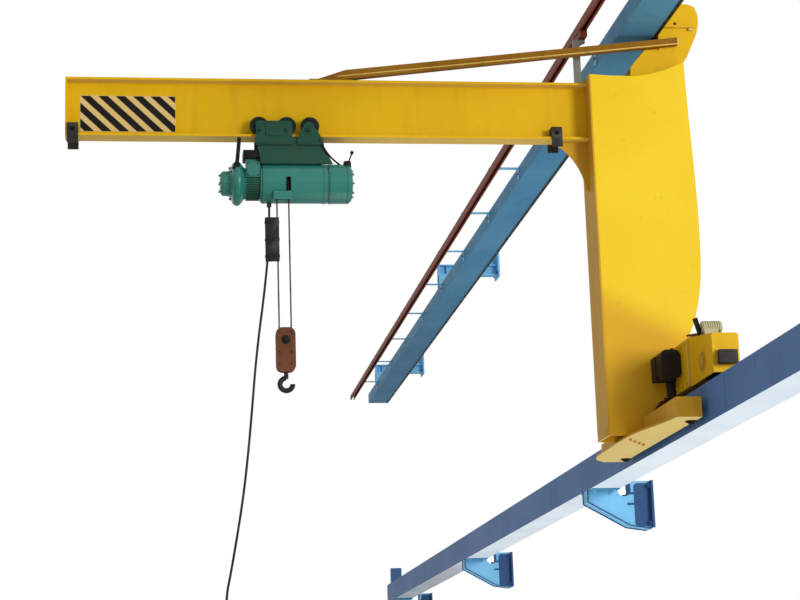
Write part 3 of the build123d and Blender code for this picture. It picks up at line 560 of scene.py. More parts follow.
def strut(start: tuple, end: tuple, wide: float, deep: float) -> Shell:
    """A flat bar between two points: its four corners carried along the line.

    Corner = point +/- wide / 2 * side +/- deep / 2 * (side x line), where side is the Y axis
    made square to the line. The two end faces are a tenth smaller.

    Args:
        start: First end of the line.
        end: Its other end.
        wide: Size along the side.
        deep: Size square to the side and the line.
    Returns:
        The closed shell.
    """
    a, b = np.array(start, float), np.array(end, float)
    line = (b - a) / np.linalg.norm(b - a)
    side = Y_AXIS - line * line[1]
    side /= np.linalg.norm(side)
    corner = np.array([(1, 1), (-1, 1), (-1, -1), (1, -1)]) / 2
    ring = corner[:, :1] * wide * side + corner[:, 1:] * deep * np.cross(side, line)
    step = line * 0.001
    return lattice(np.stack((a + ring * 0.9, a + step + ring, b - step + ring, b + ring * 0.9)))


def finned(x0: float, x1: float, centre: tuple, inner: float, outer: float,
           count: int) -> Shell:
    """A ring of cooling fins round a line along X.

    Of the four places that each fin takes up, the first two lie on outer, the others on inner.

    Args:
        x0: Where the ring starts.
        x1: Where it ends.
        centre: Y and Z of the line.
        inner: Radius between the fins.
        outer: Radius of the fins' tops.
        count: Number of fins.
    Returns:
        The closed shell.
    """
    angle = np.linspace(0, 2 * np.pi, count * 4, endpoint=False)
    radius = np.where(np.arange(count * 4) % 4 < 2, outer, inner)
    ring = np.stack((0 * angle, radius * np.cos(angle), radius * np.sin(angle)), axis=1)
    middle = np.array([0.0, *centre])
    return lattice(np.stack([middle + ring + [x, 0, 0] for x in (x0, x1)]))


def bolt(at: tuple, axis: np.ndarray, radius: float) -> Shell:
    """A washer, a six-sided head and the stub of thread, standing out along the axis.

    Args:
        at: Where it stands.
        axis: Unit vector of the way it stands out.
        radius: Half the width of its head, from corner to corner.
    Returns:
        The three in one shell.
    """
    place, height = np.array(at, float), radius * 1.1
    washer = turned([(0, radius * 1.25), (radius * 0.2, radius * 1.25)], place, axis, 14)
    head = turned([(0, radius), (height * 0.85, radius), (height, radius * 0.86)],
                  place + axis * radius * 0.2, axis, 6)
    stub = turned([(0, radius * 0.5), (radius * 0.45, radius * 0.5)],
                  place + axis * (height + radius * 0.2), axis, 10)
    return joined((washer, head, stub))


def bolt_circle(centre: tuple, radius: float, count: int, start: float = 0.0) -> list:
    """Places evenly spaced on a circle about a line along X.

    Args:
        centre: Middle of the circle.
        radius: Its radius.
        count: Number of places.
        start: Angle of the first place, from the Y axis towards Z.
    Returns:
        The places.
    """
    x, y, z = centre
    return [(x, y + radius * np.cos(t), z + radius * np.sin(t))
            for t in np.arange(count) * 2 * np.pi / count + start]


def spread(step: float, *middles: float) -> list:
    """The two values that lie a step below and above each middle."""
    return [middle + s * step for middle in middles for s in SIDES]


def both(inner: float, outer: float, *middles: float) -> list:
    """On each side of each middle, the low and high end of the stretch from inner to outer."""
    return [sorted((middle + s * inner, middle + s * outer)) for middle in middles
            for s in SIDES]


def joined(shells: tuple | list) -> Shell:
    """Many shells in one.

    Args:
        shells: The shells, in order.
    Returns:
        One shell, its faces' numbers raised by the points that come before.
    """
    shifts = np.cumsum([0] + [len(s.points) for s in shells[:-1]])
    return Shell(np.vstack([s.points for s in shells]),
                 np.vstack([s.quads + n for s, n in zip(shells, shifts)]),
                 [c + n for s, n in zip(shells, shifts) for c in s.caps])


# Sub-assemblies
@dataclass
class FrameFinishes:
    """Gives every CAD node its finish."""

    looks: tuple = (
        (Look.BEAM, "lower_runway_beam runway_stops"),
        (Look.UPPER_BEAM, "upper_runway_beam"),
        (Look.RAIL, "travel_rail"),
        (Look.BRACKET, "lower_brackets upper_brackets conductor_hangers"),
        (Look.CONDUCTOR, "conductor_rail current_collector"),
        (Look.COLUMN, "column_webs"),
        (Look.EDGE, "column_front_flange column_back_flange column_end_plates foot_carriage"
                    " jib_root_gusset"),
        (Look.JIB, "jib_beam column_head end_carriage"),
        (Look.POST, "collector_post"),
        (Look.OCHRE, "tie_bar"),
        (Look.RUBBER, "jib_stops carriage_buffers cable_gland"),
        (Look.WHEEL, "travel_wheels lower_guide_rollers upper_guide_roller rope_drum"
                     " trolley_wheels block_sheave"),
        (Look.MOTOR, "travel_drive"),
        (Look.SILVER, "brake_unit"),
        (Look.HOIST, "drum_housing hoist_motor hoist_reducer control_box hoist_rope_guide"),
        (Look.HOIST_DARK, "trolley_plates hanger_frame"),
        (Look.WIRE, "rope_falls rope_bight"),
        (Look.SLEEVE, "rope_sleeve"),
        (Look.CABLE, "pendant_cable"),
        (Look.PLASTIC, "pendant_station"),
        (Look.BROWN, "hook_block"),
        (Look.FORGED, "crane_hook"),
    )

    def build(self) -> None:
        """Puts each finish into its nodes' material slots."""
        for look, names in self.looks:
            for name in names.split():
                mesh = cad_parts[name].data
                mesh.materials.clear()
                mesh.materials.append(look.material)


@dataclass
class StudioView:
    """Floor, lamps, world and the camera of the photograph."""

    eye: tuple = (-4.068, -15.148, -1.849)
    focal: float = 87.48
    yaw: float = 7.90
    pitch: float = 12.60
    roll: float = -1.89
    floor_z: float = -3.45
    floor_half: float = 60.0
    sky_as_light: float = 0.5
    sky_as_seen: float = 1.0

    def build(self) -> None:
        """Makes all of it."""
        self.camera()
        self.floor()
        self.lamp("key_light", (10.0, -20.0, 4.0), (-1.5, 0, 1.2), (6.0, 6.0), 2700)
        self.lamp("ground_light", (-0.6, -2.0, -3.35), (-0.59, -2.0, 0.0), (17.0, 3.0), 80, 70)
        self.world()

    def camera(self) -> None:
        """Places the camera from its yaw, pitch and roll in degrees."""
        yaw, pitch, roll = np.radians((self.yaw, self.pitch, self.roll))
        ahead = np.array([np.sin(yaw) * np.cos(pitch), np.cos(yaw) * np.cos(pitch),
                          np.sin(pitch)])
        right = np.array([np.cos(yaw), -np.sin(yaw), 0.0])
        up = np.cross(right, ahead)
        right, up = (np.cos(roll) * right + np.sin(roll) * up,
                     -np.sin(roll) * right + np.cos(roll) * up)
        data = bpy.data.cameras.new("photo_camera")
        data.lens, data.sensor_width, data.sensor_fit = self.focal, 36.0, "HORIZONTAL"
        data.clip_end = 200.0
        camera = placed("photo_camera", data)
        self.turn(camera, self.eye, right, up, -ahead)
        bpy.context.scene.camera = camera

    def turn(self, made: bpy.types.Object, place: tuple, *axes: np.ndarray) -> None:
        """Puts an object at a place, with its own X, Y and Z along the three axes."""
        turned_to = Matrix(np.stack(axes, axis=1).tolist()).to_4x4()
        made.matrix_world = Matrix.Translation(place) @ turned_to

    def floor(self) -> None:
        """A plain pale floor under the object."""
        mesh = bpy.data.meshes.new("studio_floor")
        r, z = self.floor_half, self.floor_z
        mesh.from_pydata([(-r, -r, z), (r, -r, z), (r, r, z), (-r, r, z)], [], [(0, 1, 2, 3)])
        mat = Recipe("studio_floor")
        mat.feed(Base_Color=mat.mix(mat.noise(0.4), (0.78, 0.78, 0.77, 1), (0.82, 0.82, 0.81, 1)),
                 Roughness=0.9)
        mesh.materials.append(mat.material)
        made = placed("studio_floor", mesh)

    def lamp(self, name: str, place: tuple, aim: tuple, size: tuple, power: float,
             cone: float = 180.0) -> None:
        """Adds a soft lamp that the camera doesn't see.

        Args:
            name: Name of the lamp.
            place: Where it stands.
            aim: The place it points at.
            size: Its two sides.
            power: Its power in watts.
            cone: How wide its light spreads, in degrees.
        """
        data = bpy.data.lights.new(name, "AREA")
        data.shape = "RECTANGLE"
        data.size, data.size_y, data.energy = *size, power
        data.spread = np.radians(cone)
        made = placed(name, data)
        gaze = np.array(aim, float) - np.array(place, float)
        back = -gaze / np.linalg.norm(gaze)
        side = np.cross(Z_AXIS, back)
        side /= np.linalg.norm(side)
        self.turn(made, place, side, np.cross(back, side), back)
        made.visible_camera = False

    def world(self) -> None:
        """White to the camera and in reflections, a softer grey as light."""
        world = bpy.data.worlds.new("studio_world")
        bpy.context.scene.world = world
        world.use_nodes = True
        nodes, links = world.node_tree.nodes, world.node_tree.links
        ray, level = nodes.new("ShaderNodeLightPath"), nodes.new("ShaderNodeMapRange")
        seen = ray.outputs["Is Camera Ray"]
        for kind in ("Is Transmission Ray", "Is Glossy Ray"):
            either = nodes.new("ShaderNodeMath")
            either.operation = "MAXIMUM"
            links.new(seen, either.inputs[0])
            links.new(ray.outputs[kind], either.inputs[1])
            seen = either.outputs[0]
        level.inputs["To Min"].default_value = self.sky_as_light
        level.inputs["To Max"].default_value = self.sky_as_seen
        links.new(seen, level.inputs["Value"])
        sky = nodes["Background"]
        sky.inputs["Color"].default_value = (1, 1, 1, 1)
        links.new(level.outputs["Result"], sky.inputs["Strength"])


@dataclass
class Fittings:
    """Small parts that ride on one body, placed about the crane's middle plane."""

    body: str = "crane"
    y: float = CRANE_Y

    def add(self, name: str, look: Look, slot: str, *shells: Shell) -> bpy.types.Object:
        """Builds the shells as one piece on the body."""
        return joined(shells).build(name, look, self.body, slot)

    def bolt_on(self, name: str, look: Look, axis: np.ndarray, radius: float,
                places: Iterable, middle: float | None = None) -> None:
        """Builds many bolts as one piece.

        Args:
            name: Name of the piece.
            look: Its finish.
            axis: Which way they stand out.
            radius: Half the width of their heads.
            places: Where they stand.
            middle: With it, bolts that lie below it along the axis point the other way.
        """
        self.add(name, look, "rail_steel", *[
            bolt(at, axis if middle is None or np.dot(at, axis) > middle else -axis, radius)
            for at in places])


@dataclass
class PendantLine(Fittings):
    """The pendant cable, its strain relief and the push-button station."""

    body: str = "trolley"
    route: tuple = ((-3.180, 1.662), (-3.180, 1.450), (-3.202, 1.240), (-3.229, 1.015),
                    (-3.262, 0.790), (-3.290, 0.560), (-3.311, 0.335), (-3.333, 0.110),
                    (-3.358, -0.115), (-3.389, -0.342), (-3.428, -0.568), (-3.470, -0.795),
                    (-3.503, -0.945), (-3.503, -1.080))
    radius: float = 0.008
    length: float = 2.76
    relief_length: float = 0.052
    relief_ribs: int = 6
    button_step: float = 0.036

    def build(self) -> None:
        """Builds the cable as one smooth spline and what is on it."""
        data = bpy.data.curves.new("pendant_line", "CURVE")
        data.dimensions, data.resolution_u = "3D", 12
        data.bevel_depth, data.bevel_resolution, data.use_fill_caps = self.radius, 4, True
        line = data.splines.new("NURBS")
        line.points.add(len(self.route) - 1)
        for point, (x, z) in zip(line.points, self.route):
            point.co = (x, self.y, z, 1.0)
        line.order_u, line.use_endpoint_u = 3, True
        data.materials.append(Look.CABLE.material)
        cable = placed("pendant_line", data)
        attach(cable, "trolley")
        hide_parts("pendant_cable")
        relief = self.strain_relief()
        self.station_parts()

    def strain_relief(self) -> bpy.types.Object:
        """Makes the ribbed taper that holds the cable where it enters the station.

        Returns:
            The new piece.
        """
        steps = np.linspace(0, 1, 25)
        wave = 0.0012 * (np.cos(steps * 2 * np.pi * self.relief_ribs) < 0)
        profile = [(-self.relief_length * (1 - s), 0.0092 + 0.011 * s + w)
                   for s, w in zip(steps, wave)]
        x, z = self.route[-1]
        return self.add("station_strain_relief", Look.SLEEVE, "cable_black",
                        turned(profile, (x, self.y, z), -Z_AXIS, 20))

    def station_parts(self) -> None:
        """Buttons in their collars on the station's near face."""
        x, top = self.route[-1]
        at = [(x, self.y - 0.030, top - 0.035 - self.button_step * k) for k in range(6)]
        collars = [turned([(0, 0.0155), (0.003, 0.0155), (0.004, 0.0125)], p, -Y_AXIS, 20)
                   for p in at]
        caps = [turned([(0, 0.0112), (0.007, 0.0112), (0.009, 0.0085)], p, -Y_AXIS, 20)
                for p in at]
        for name, look, shells in (
                ("button_collars", Look.RUBBER, collars), ("stop_button", Look.RED, caps[:1]),
                ("start_button", Look.GREEN, caps[1:2]),
                ("motion_buttons", Look.PLASTIC, caps[2:])):
            self.add(name, look, "station_plastic", *shells)


@dataclass
class HoistingRope(Fittings):
    """Two stranded falls, riding on the trolley."""

    body: str = "trolley"
    x: float = ROPE_X
    y: float = ROPE_Y
    gap: float = 0.080
    top: float = 1.824
    bottom: float = 0.720
    radius: float = 0.0055
    strands: int = 6
    lay: float = 0.075

    def build(self) -> None:
        """Builds the falls with their strands."""
        falls = [tube(np.linspace((x, self.y, self.bottom), (x, self.y, self.top), 420),
                      self.radius, 24, self.strands, self.lay)
                 for x in spread(self.gap / 2, self.x)]
        made = self.add("rope_strands", Look.WIRE, "wire_rope", *falls)
        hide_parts("rope_falls")
        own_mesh(made)


@dataclass
class HazardPanels(Fittings):
    """Pale panels with slanting black bars on both faces of the jib's web."""

    low: tuple = (-4.446, 2.182)
    high: tuple = (-3.803, 2.438)
    web: float = 0.005
    bars: int = 9
    pitch: float = 0.1171
    wide: float = 0.065
    lean: float = 0.262
    margin: float = 0.003

    def build(self) -> None:
        """Builds the panels and their bars."""
        (x0, z0), (x1, z1) = self.low, self.high
        face = self.y - self.web
        panel = plate([(x0, z0), (x1, z0), (x1, z1), (x0, z1)], face - 0.0015, face, 0.0004)
        top, bottom, bars = z1 - self.margin, z0 + self.margin, []
        for k in range(self.bars):
            a = x0 + 0.004 + (k - 3) * self.pitch
            bar = self.clip([(a, top), (a + self.wide, top),
                             (a + self.wide + self.lean, bottom), (a + self.lean, bottom)])
            if bar is not None:
                bars.append(plate(bar, face - 0.0021, face - 0.001, 0.0002))
        near = joined(bars)
        self.add("hazard_panels", Look.WHITE, "crane_yellow", panel, panel.flipped_y(self.y))
        self.add("hazard_bars", Look.BLACK, "stop_black", near, near.flipped_y(self.y))

    def clip(self, corners: list) -> np.ndarray | None:
        """Cuts a slanting bar at the panel's left edge, then at its right edge.

        Args:
            corners: The bar's corners in order.
        Returns:
            The corners of what is left, or None where that is a sliver.
        """
        for sign, limit in ((1, self.low[0] + self.margin), (-1, self.high[0] - self.margin)):
            kept = []
            for (xa, za), (xb, zb) in zip(corners, corners[1:] + corners[:1]):
                if sign * (xa - limit) >= 0:
                    kept.append((xa, za))
                if (xa - limit) * (xb - limit) < 0:
                    kept.append((limit, za + (zb - za) * ((limit - xa) / (xb - xa))))
            corners = kept
            if len(corners) < 3:
                return None
        flat = np.array(corners)
        return flat if np.ptp(flat[:, 0]) > 0.02 else None


@dataclass
class RunwayFittings(Fittings):
    """Bolts, clips, edge plates and closing plates of the runway and its brackets."""

    body: str = "runway"
    brackets: tuple = (-6.0, 0.0, 6.0, 12.0)
    y_ends: tuple = (-6.75, 12.75)
    wall_bolt_z: tuple = (-0.1225, 3.365)
    bolt_step: tuple = (0.105, 0.145)
    rail_x: float = -0.4
    clip_step: float = 0.5
    hanger_step: float = 1.5

    def build(self) -> None:
        """Builds every fitting."""
        dy, dz = self.bolt_step
        self.bolt_on("wall_bolts", Look.BRACKET_DARK, -X_AXIS, 0.016, product(
            [-0.020], spread(dy, *self.brackets), spread(dz, *self.wall_bolt_z)))
        self.bracket_edges()
        self.bearing_plates()
        self.rail_clips()
        self.beam_ends()
        self.hanger_feet()
        y0, y1 = self.y_ends
        # Painted shadow: a dark strip under the upper beam's wall-side edge, at the gap to the
        # head.
        self.add("roller_gap_shadow", Look.GREASE, "beam_blue",
                 slab((-0.452, y0, 2.8965), (-0.4245, y1, 2.900), 0.0008))

    def bracket_edges(self) -> None:
        """Edge flanges of each lower bracket's tip and slope, its cheeks, ribs and sheets."""
        outline = rounded(0.128, 0.345, 0.030, 5) + (-0.086, -0.125)
        turns = [(-0.5255, -0.001), (-0.5255, -0.0975), (-0.187, -0.2885), (-0.021, -0.3135)]
        # The edge flanges' dark blue is painted shade along the slope; cheeks, ribs and sheets
        # make the back part darker.
        flanges = [strut((x0, y, z0), (x1, y, z1), 0.010, 0.009)
                   for y in spread(0.0845, *self.brackets)
                   for (x0, z0), (x1, z1) in zip(turns, turns[1:])]
        cheeks = [plate(outline, a, b, 0.0012) for a, b in both(0.0798, 0.0840, *self.brackets)]
        ribs = [slab((-0.205, a, z), (-0.100, b, z + 0.016))
                for a, b in both(0.080, 0.0885, *self.brackets) for z in (-0.040, -0.125)]
        sheets = [slab((-0.0212, y - 0.1295, -0.3095), (-0.0195, y + 0.1295, 0.0645), 0.0005)
                  for y in self.brackets]
        sheets += [slab((-0.0205, a, -0.3095), (-0.0005, b, 0.0645), 0.0004)
                   for a, b in both(0.1297, 0.1312, *self.brackets)]
        for name, shells in (("back_sheets", sheets), ("edge_flanges", flanges),
                             ("cheeks", cheeks), ("ribs", ribs)):
            self.add(f"bracket_{name}", Look.BRACKET_DARK, "bracket_blue", *shells)

    def bearing_plates(self) -> None:
        """Plates and bolts that hold the lower beam down beside each bracket."""
        self.add("bearing_plates", Look.SADDLE, "bracket_blue", *[
            slab((-0.515, a, -0.010), (-0.285, b, 0.0), 0.002)
            for a, b in both(0.082, 0.190, *self.brackets)])
        self.bolt_on("bearing_bolts", Look.BRACKET, -Z_AXIS, 0.013, product(
            (-0.480, -0.320), spread(0.136, *self.brackets), [-0.010]))

    def rail_clips(self) -> None:
        """Clips and bolts on both sides of the rail, one pair each step."""
        rows = np.arange(self.y_ends[0] + 0.45, self.y_ends[1] - 0.4, self.clip_step)
        self.add("rail_clips", Look.RAIL, "rail_steel", *[
            slab((a, y - 0.025, 0.250), (b, y + 0.025, 0.261))
            for y in rows for a, b in both(0.0202, 0.068, self.rail_x)])
        self.bolt_on("rail_clip_bolts", Look.RAIL, Z_AXIS, 0.009, product(
            spread(0.056, self.rail_x), rows, [0.261]))

    def beam_ends(self) -> None:
        """Closing plates set a little inside the hollow beams' ends."""
        y0, y1 = self.y_ends
        for name, look, (x0, x1), (z0, z1) in (
                ("lower_beam_ends", Look.BEAM, (-0.5098, -0.2902), (0.0102, 0.2398)),
                ("upper_beam_ends", Look.UPPER_BEAM, (-0.7028, -0.4312), (2.9082, 3.0218))):
            self.add(name, look, "beam_blue", *[slab((x0, a, z0), (x1, a + 0.008, z1), 0.001)
                                                for a in (y0 + 0.004, y1 - 0.012)])

    def hanger_feet(self) -> None:
        """Feet, stiffeners and bolts of the upper brackets, and the conductor hangers' bolts."""
        feet = [slab((-0.685, a, 3.030), (-0.449, b, 3.040), 0.002)
                for a, b in both(0.060, 0.125, *self.brackets)]
        feet += [slab((x, a, 3.2125), (x + 0.010, b, 3.3075), 0.002)
                 for a, b in both(0.0065, 0.058, *self.brackets) for x in (-0.60, -0.42, -0.22)]
        self.add("hanger_feet", Look.BRACKET, "bracket_blue", *feet)
        self.bolt_on("hanger_bolts", Look.BRACKET, Z_AXIS, 0.011, product(
            (-0.645, -0.567, -0.489), spread(0.095, *self.brackets), [3.040]))
        hangers = self.y_ends[0] + 0.375 + self.hanger_step * np.arange(13)
        self.bolt_on("conductor_bolts", Look.CONDUCTOR, -X_AXIS, 0.006, product(
            [-0.719], spread(0.013, *hangers), [2.965]))


@dataclass
class ColumnFittings(Fittings):
    """What is bolted and welded to the column, its carriages and the drive."""

    carriage_x: tuple = (-0.4870, -0.3130)
    wheel_y: float = 0.850
    wheel_z: float = 0.4153
    roller_x: float = -0.5903
    drive: tuple = (-0.5695, 0.488)
    drive_end: float = 0.405

    def build(self) -> None:
        """Builds the fittings."""
        y = self.y
        # The saddle's front edge strip is pale as a painted highlight.
        self.add("saddle_edge_strip", Look.LIP, "crane_yellow",
                 slab((-0.505, y - 0.560, 0.306), (-0.486, y - 0.548, 0.616), 0.002))
        self.bolt_on("saddle_bolts", Look.JIB, -X_AXIS, 0.012, product(
            [-0.499], [y + s * d for s in SIDES for d in (0.20, 0.31, 0.42, 0.51)],
            (0.335, 0.590)))
        self.axle_caps()
        self.roller_caps()
        self.drive_fittings()
        self.brake_fittings()
        self.buffer_plates()
        self.head_fittings()
        self.column_skirts()
        self.tie_bar_edges()

    def axle_caps(self) -> None:
        """Bearing caps on both faces of the end carriage, each with six bolts."""
        profile = [(0, 0.062), (0.006, 0.062), (0.008, 0.048), (0.014, 0.046), (0.017, 0.036),
                   (0.017, 0.012)]
        caps, places = [], []
        for y in spread(self.wheel_y, self.y):
            for s, x in zip(SIDES, self.carriage_x):
                caps.append(turned(profile, (x, y, self.wheel_z), s * X_AXIS, 36))
                places += bolt_circle((x + s * 0.006, y, self.wheel_z), 0.053, 6)
        self.add("axle_caps", Look.EDGE, "crane_yellow", *caps)
        self.bolt_on("axle_cap_bolts", Look.EDGE, X_AXIS, 0.005, places, middle=-0.4)

    def roller_caps(self) -> None:
        """Caps of the guide rollers' pins, above and below the foot, and the foot's bolts."""
        profile = [(0, 0.036), (0.008, 0.036), (0.011, 0.030), (0.011, 0.020), (0.019, 0.019),
                   (0.020, 0.014)]
        self.add("guide_pin_caps", Look.WHEEL, "wheel_dark", *[
            turned(profile, (self.roller_x, y, z), axis, 28)
            for y in spread(self.wheel_y, self.y) for z, axis in ((0.161, Z_AXIS),
                                                                  (0.032, -Z_AXIS))])
        self.bolt_on("foot_bolts", Look.EDGE, -Z_AXIS, 0.010, [
            (-0.80 + 0.05 * k, self.y - 0.12 + 0.08 * k, 0.032) for k in range(4)])

    def drive_fittings(self) -> None:
        """Fan cover with its grille, ribs, guard, release lever and bolts of the drive."""
        (x, z), y, end = self.drive, self.y, self.y - self.drive_end
        self.add("drive_fan_cover", Look.MOTOR, "motor_grey",
                 plate(rounded(0.112, 0.166, 0.034, 6) + (x, z), end - 0.007, end + 0.003, 0.004),
                 *[slab((x - 0.040, end - 0.010, z - 0.060 + up),
                        (x + 0.040, end - 0.006, z - 0.052 + up), 0.001)
                   for up in 0.020 * np.arange(7)])
        self.add("drive_ribs", Look.MOTOR, "motor_grey", *[
            slab((x - wide, end + 0.020 + back, z - high),
                 (x + wide, end + 0.024 + back, z + high), 0.001)
            for wide, high in ((0.0665, 0.052), (0.026, 0.0955)) for back in 0.014 * np.arange(9)])
        self.add("drive_lower_guard", Look.MOTOR, "motor_grey",
                 slab((-0.548, y - 0.250, 0.300), (-0.4995, y - 0.170, 0.402), 0.008))
        wedge = [(-0.690, 0.161), (-0.590, 0.161), (-0.575, 0.262), (-0.602, 0.268)]
        self.add("drive_release_lever", Look.MAROON, "motor_grey",
                 plate(wedge, y - 0.245, y - 0.196, 0.003))
        self.bolt_on("drive_bolts", Look.MOTOR, -Y_AXIS, 0.007, product(
            spread(0.058, x), [y - 0.2625], spread(0.060, z)))

    def brake_fittings(self) -> None:
        """Cooling rings of the brake, its lever and the conduit beside it."""
        y = self.y - 0.800
        self.add("brake_rings", Look.SILVER, "motor_silver", *[
            turned([(0, 0.037), (0.001, 0.0415), (0.006, 0.0415), (0.007, 0.037)],
                   (-0.460 + 0.015 * k, y, 0.6475), X_AXIS) for k in range(8)])
        self.add("brake_lever", Look.BLACK, "stop_black",
                 strut((-0.470, y + 0.02, 0.605), (-0.515, y - 0.03, 0.700), 0.016, 0.030))
        path = np.linspace((-0.474, self.y - 0.500, 0.655), (-0.474, self.y - 0.765, 0.612), 12)
        self.add("brake_conduit", Look.MAROON, "motor_grey", tube(path, 0.008))

    def buffer_plates(self) -> None:
        """Steel plates and bolts behind the rubber buffers."""
        self.add("buffer_plates", Look.EDGE, "crane_yellow", *[
            slab((-0.470, a, 0.346), (-0.330, b, 0.448), 0.002)
            for a, b in both(1.0722, 1.0790, self.y)])
        self.bolt_on("buffer_bolts", Look.EDGE, Y_AXIS, 0.004, product(
            (-0.4645, -0.3355), spread(1.079, self.y), (0.356, 0.438)), middle=self.y)

    def head_fittings(self) -> None:
        """Pin nut, hole, tab and shoulder plates of the head."""
        y, edge = self.y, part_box("column_head")[0][0] + 0.001
        low = [(-0.634, 2.571), (-0.628, 2.670), (-0.594, 2.715), (-0.524, 2.796),
               (-0.510, 2.803), (edge, 2.803), (edge, 2.571)]
        high = [(-0.534, 2.785), (-0.452, 2.880), (edge + 0.02, 2.885), (edge + 0.02, 2.785)]
        self.add("roller_pin_nut", Look.EDGE, "rail_steel",
                 turned([(0, 0.024), (0.006, 0.024), (0.006, 0.016), (0.020, 0.016)],
                        (-0.3807, y, 3.043), Z_AXIS, 6))
        # The hole is a flat black disc: painted shade inside it.
        self.add("head_hole", Look.BLACK, "stop_black",
                 turned([(0, 0.011), (0.0006, 0.0108)], (-0.287, y - 0.060, 3.002), -Y_AXIS, 24))
        # The tab is pale as a painted highlight.
        self.add("head_tab", Look.LIP, "crane_yellow",
                 slab((-0.195, y - 0.078, 2.948), (-0.160, y - 0.060, 2.967), 0.002))
        self.add("head_shoulder", Look.JIB, "crane_yellow",
                 *[plate(low, a, b, 0.001) for a, b in both(0.048, 0.060, y)],
                 *[plate(high, a, b, 0.001) for a, b in both(0.038, 0.048, y)])

    def column_skirts(self) -> None:
        """Strips that carry the column's front and its webs down to the foot."""
        y, corner = self.y, [(-0.9455, 0.0995), (-0.9455, 0.050), (-0.836, 0.050)]
        self.add("column_front_skirt", Look.EDGE, "crane_yellow",
                 slab((-0.957, y - 0.158, 0.050), (-0.945, y + 0.158, 0.1006), 0.0005))
        self.add("column_side_skirts", Look.COLUMN, "crane_yellow",
                 *[plate(corner, a, b, 0.0005) for a, b in both(0.150, 0.158, y)])

    def tie_bar_edges(self) -> None:
        """Lower lip and end plate, pale as painted highlight, and foot plate of the tie bar."""
        y = self.y
        self.add("tie_bar_lip_highlight", Look.LIP, "tie_bar_ochre",
                 strut((-2.700, y - 0.0640, 2.5745), (-0.290, y - 0.1125, 2.8330), 0.012, 0.007),
                 strut((-0.288, y - 0.1105, 2.828), (-0.288, y - 0.1105, 2.884), 0.008, 0.010))
        self.add("tie_bar_foot_plate", Look.OCHRE, "tie_bar_ochre",
                 slab((-2.895, y - 0.068, 2.548), (-2.600, y - 0.004, 2.556), 0.002))


@dataclass
class JibFittings(Fittings):
    """Weld seams of the jib, bolts of its stops and the collector's clamp."""

    tip: float = -4.530
    root: float = -0.957
    ripple: float = 0.0007
    ripple_rate: float = 900.0

    def build(self) -> None:
        """Builds the seams, the bolts and the clamp."""
        seams = []
        for y in spread(0.0055, self.y):
            seams += [self.seam((self.tip + 0.002, y, z), (self.root - 0.002, y, z), 240, 0.0042)
                      for z in (2.1545, 2.5315)]
            seams += [self.seam((x, y, 2.16), (x, y, 2.52), 40, 0.004)
                      for x in (self.tip + 0.001, self.root - 0.001)]
        self.add("jib_weld_seams", Look.JIB, "crane_yellow", *seams)
        self.bolt_on("jib_stop_bolts", Look.BLACK, Y_AXIS, 0.012, product(
            (-4.492, -1.184), spread(0.084, self.y), [2.180]), middle=self.y)
        self.add("collector_clamp", Look.CONDUCTOR, "conductor_brown",
                 slab((-1.018, self.y + 0.012, 2.780), (-0.957, self.y + 0.068, 2.840), 0.004))

    def seam(self, start: tuple, end: tuple, count: int, radius: float) -> Shell:
        """A weld bead whose radius ripples along its line.

        Args:
            start: First end of the bead.
            end: Its other end.
            count: Places along it.
            radius: Its radius without the ripple.
        Returns:
            The closed shell.
        """
        path = np.linspace(start, end, count)
        along = path[:, np.ptp(path, axis=0).argmax()]
        return tube(path, radius + self.ripple * np.sin(along * self.ripple_rate), 6)


@dataclass
class TrolleyFittings(Fittings):
    """Axle nuts, wheel faces, spacers and covers of the trolley."""

    body: str = "trolley"
    axle_x: tuple = (-3.237, -3.062, -2.904)
    axle_z: float = 2.170
    wheel_x: tuple = (-3.243, -3.056, -2.898)
    wheel_z: float = 2.2093
    face: float = 0.110

    def build(self) -> None:
        """Builds the trolley's small parts."""
        collar = [(0, 0.030), (0.004, 0.030), (0.006, 0.024)]
        rim = [(0, 0.060), (0.0035, 0.059), (0.0035, 0.046), (0.001, 0.045), (0.001, 0.026),
               (0.004, 0.025)]
        self.add("axle_collars", Look.HOIST_DARK, "hoist_green", *[
            turned(collar, (x, self.y + s * self.face, self.axle_z), s * Y_AXIS, 28)
            for x in self.axle_x for s in SIDES])
        self.bolt_on("axle_nuts", Look.HOIST_DARK, Y_AXIS, 0.013, product(
            self.axle_x, spread(self.face + 0.006, self.y), [self.axle_z]), middle=self.y)
        self.add("wheel_faces", Look.WHEEL, "wheel_dark", *[
            turned(rim, (x, self.y + s * 0.0862, self.wheel_z), s * Y_AXIS, 40)
            for x in self.wheel_x for s in SIDES])
        self.add("trolley_spacers", Look.BOLT, "rail_steel", *[
            turned([(-0.097, 0.009), (0.097, 0.009)], (x, self.y, 2.092), Y_AXIS, 16)
            for x in (-3.20, -3.09, -2.95, -2.86)])
        panel, covers = rounded(0.150, 0.092, 0.020, 5) + (-3.130, 2.176), []
        for a, b in both(self.face, self.face + 0.007, self.y):
            covers += [plate(panel, a, b, 0.003), slab((-3.262, a, 2.070), (-3.026, b, 2.082)),
                       slab((-2.984, a, 2.070), (-2.826, b, 2.082))]
        self.add("trolley_covers", Look.HOIST_DARK, "hoist_green", *covers)


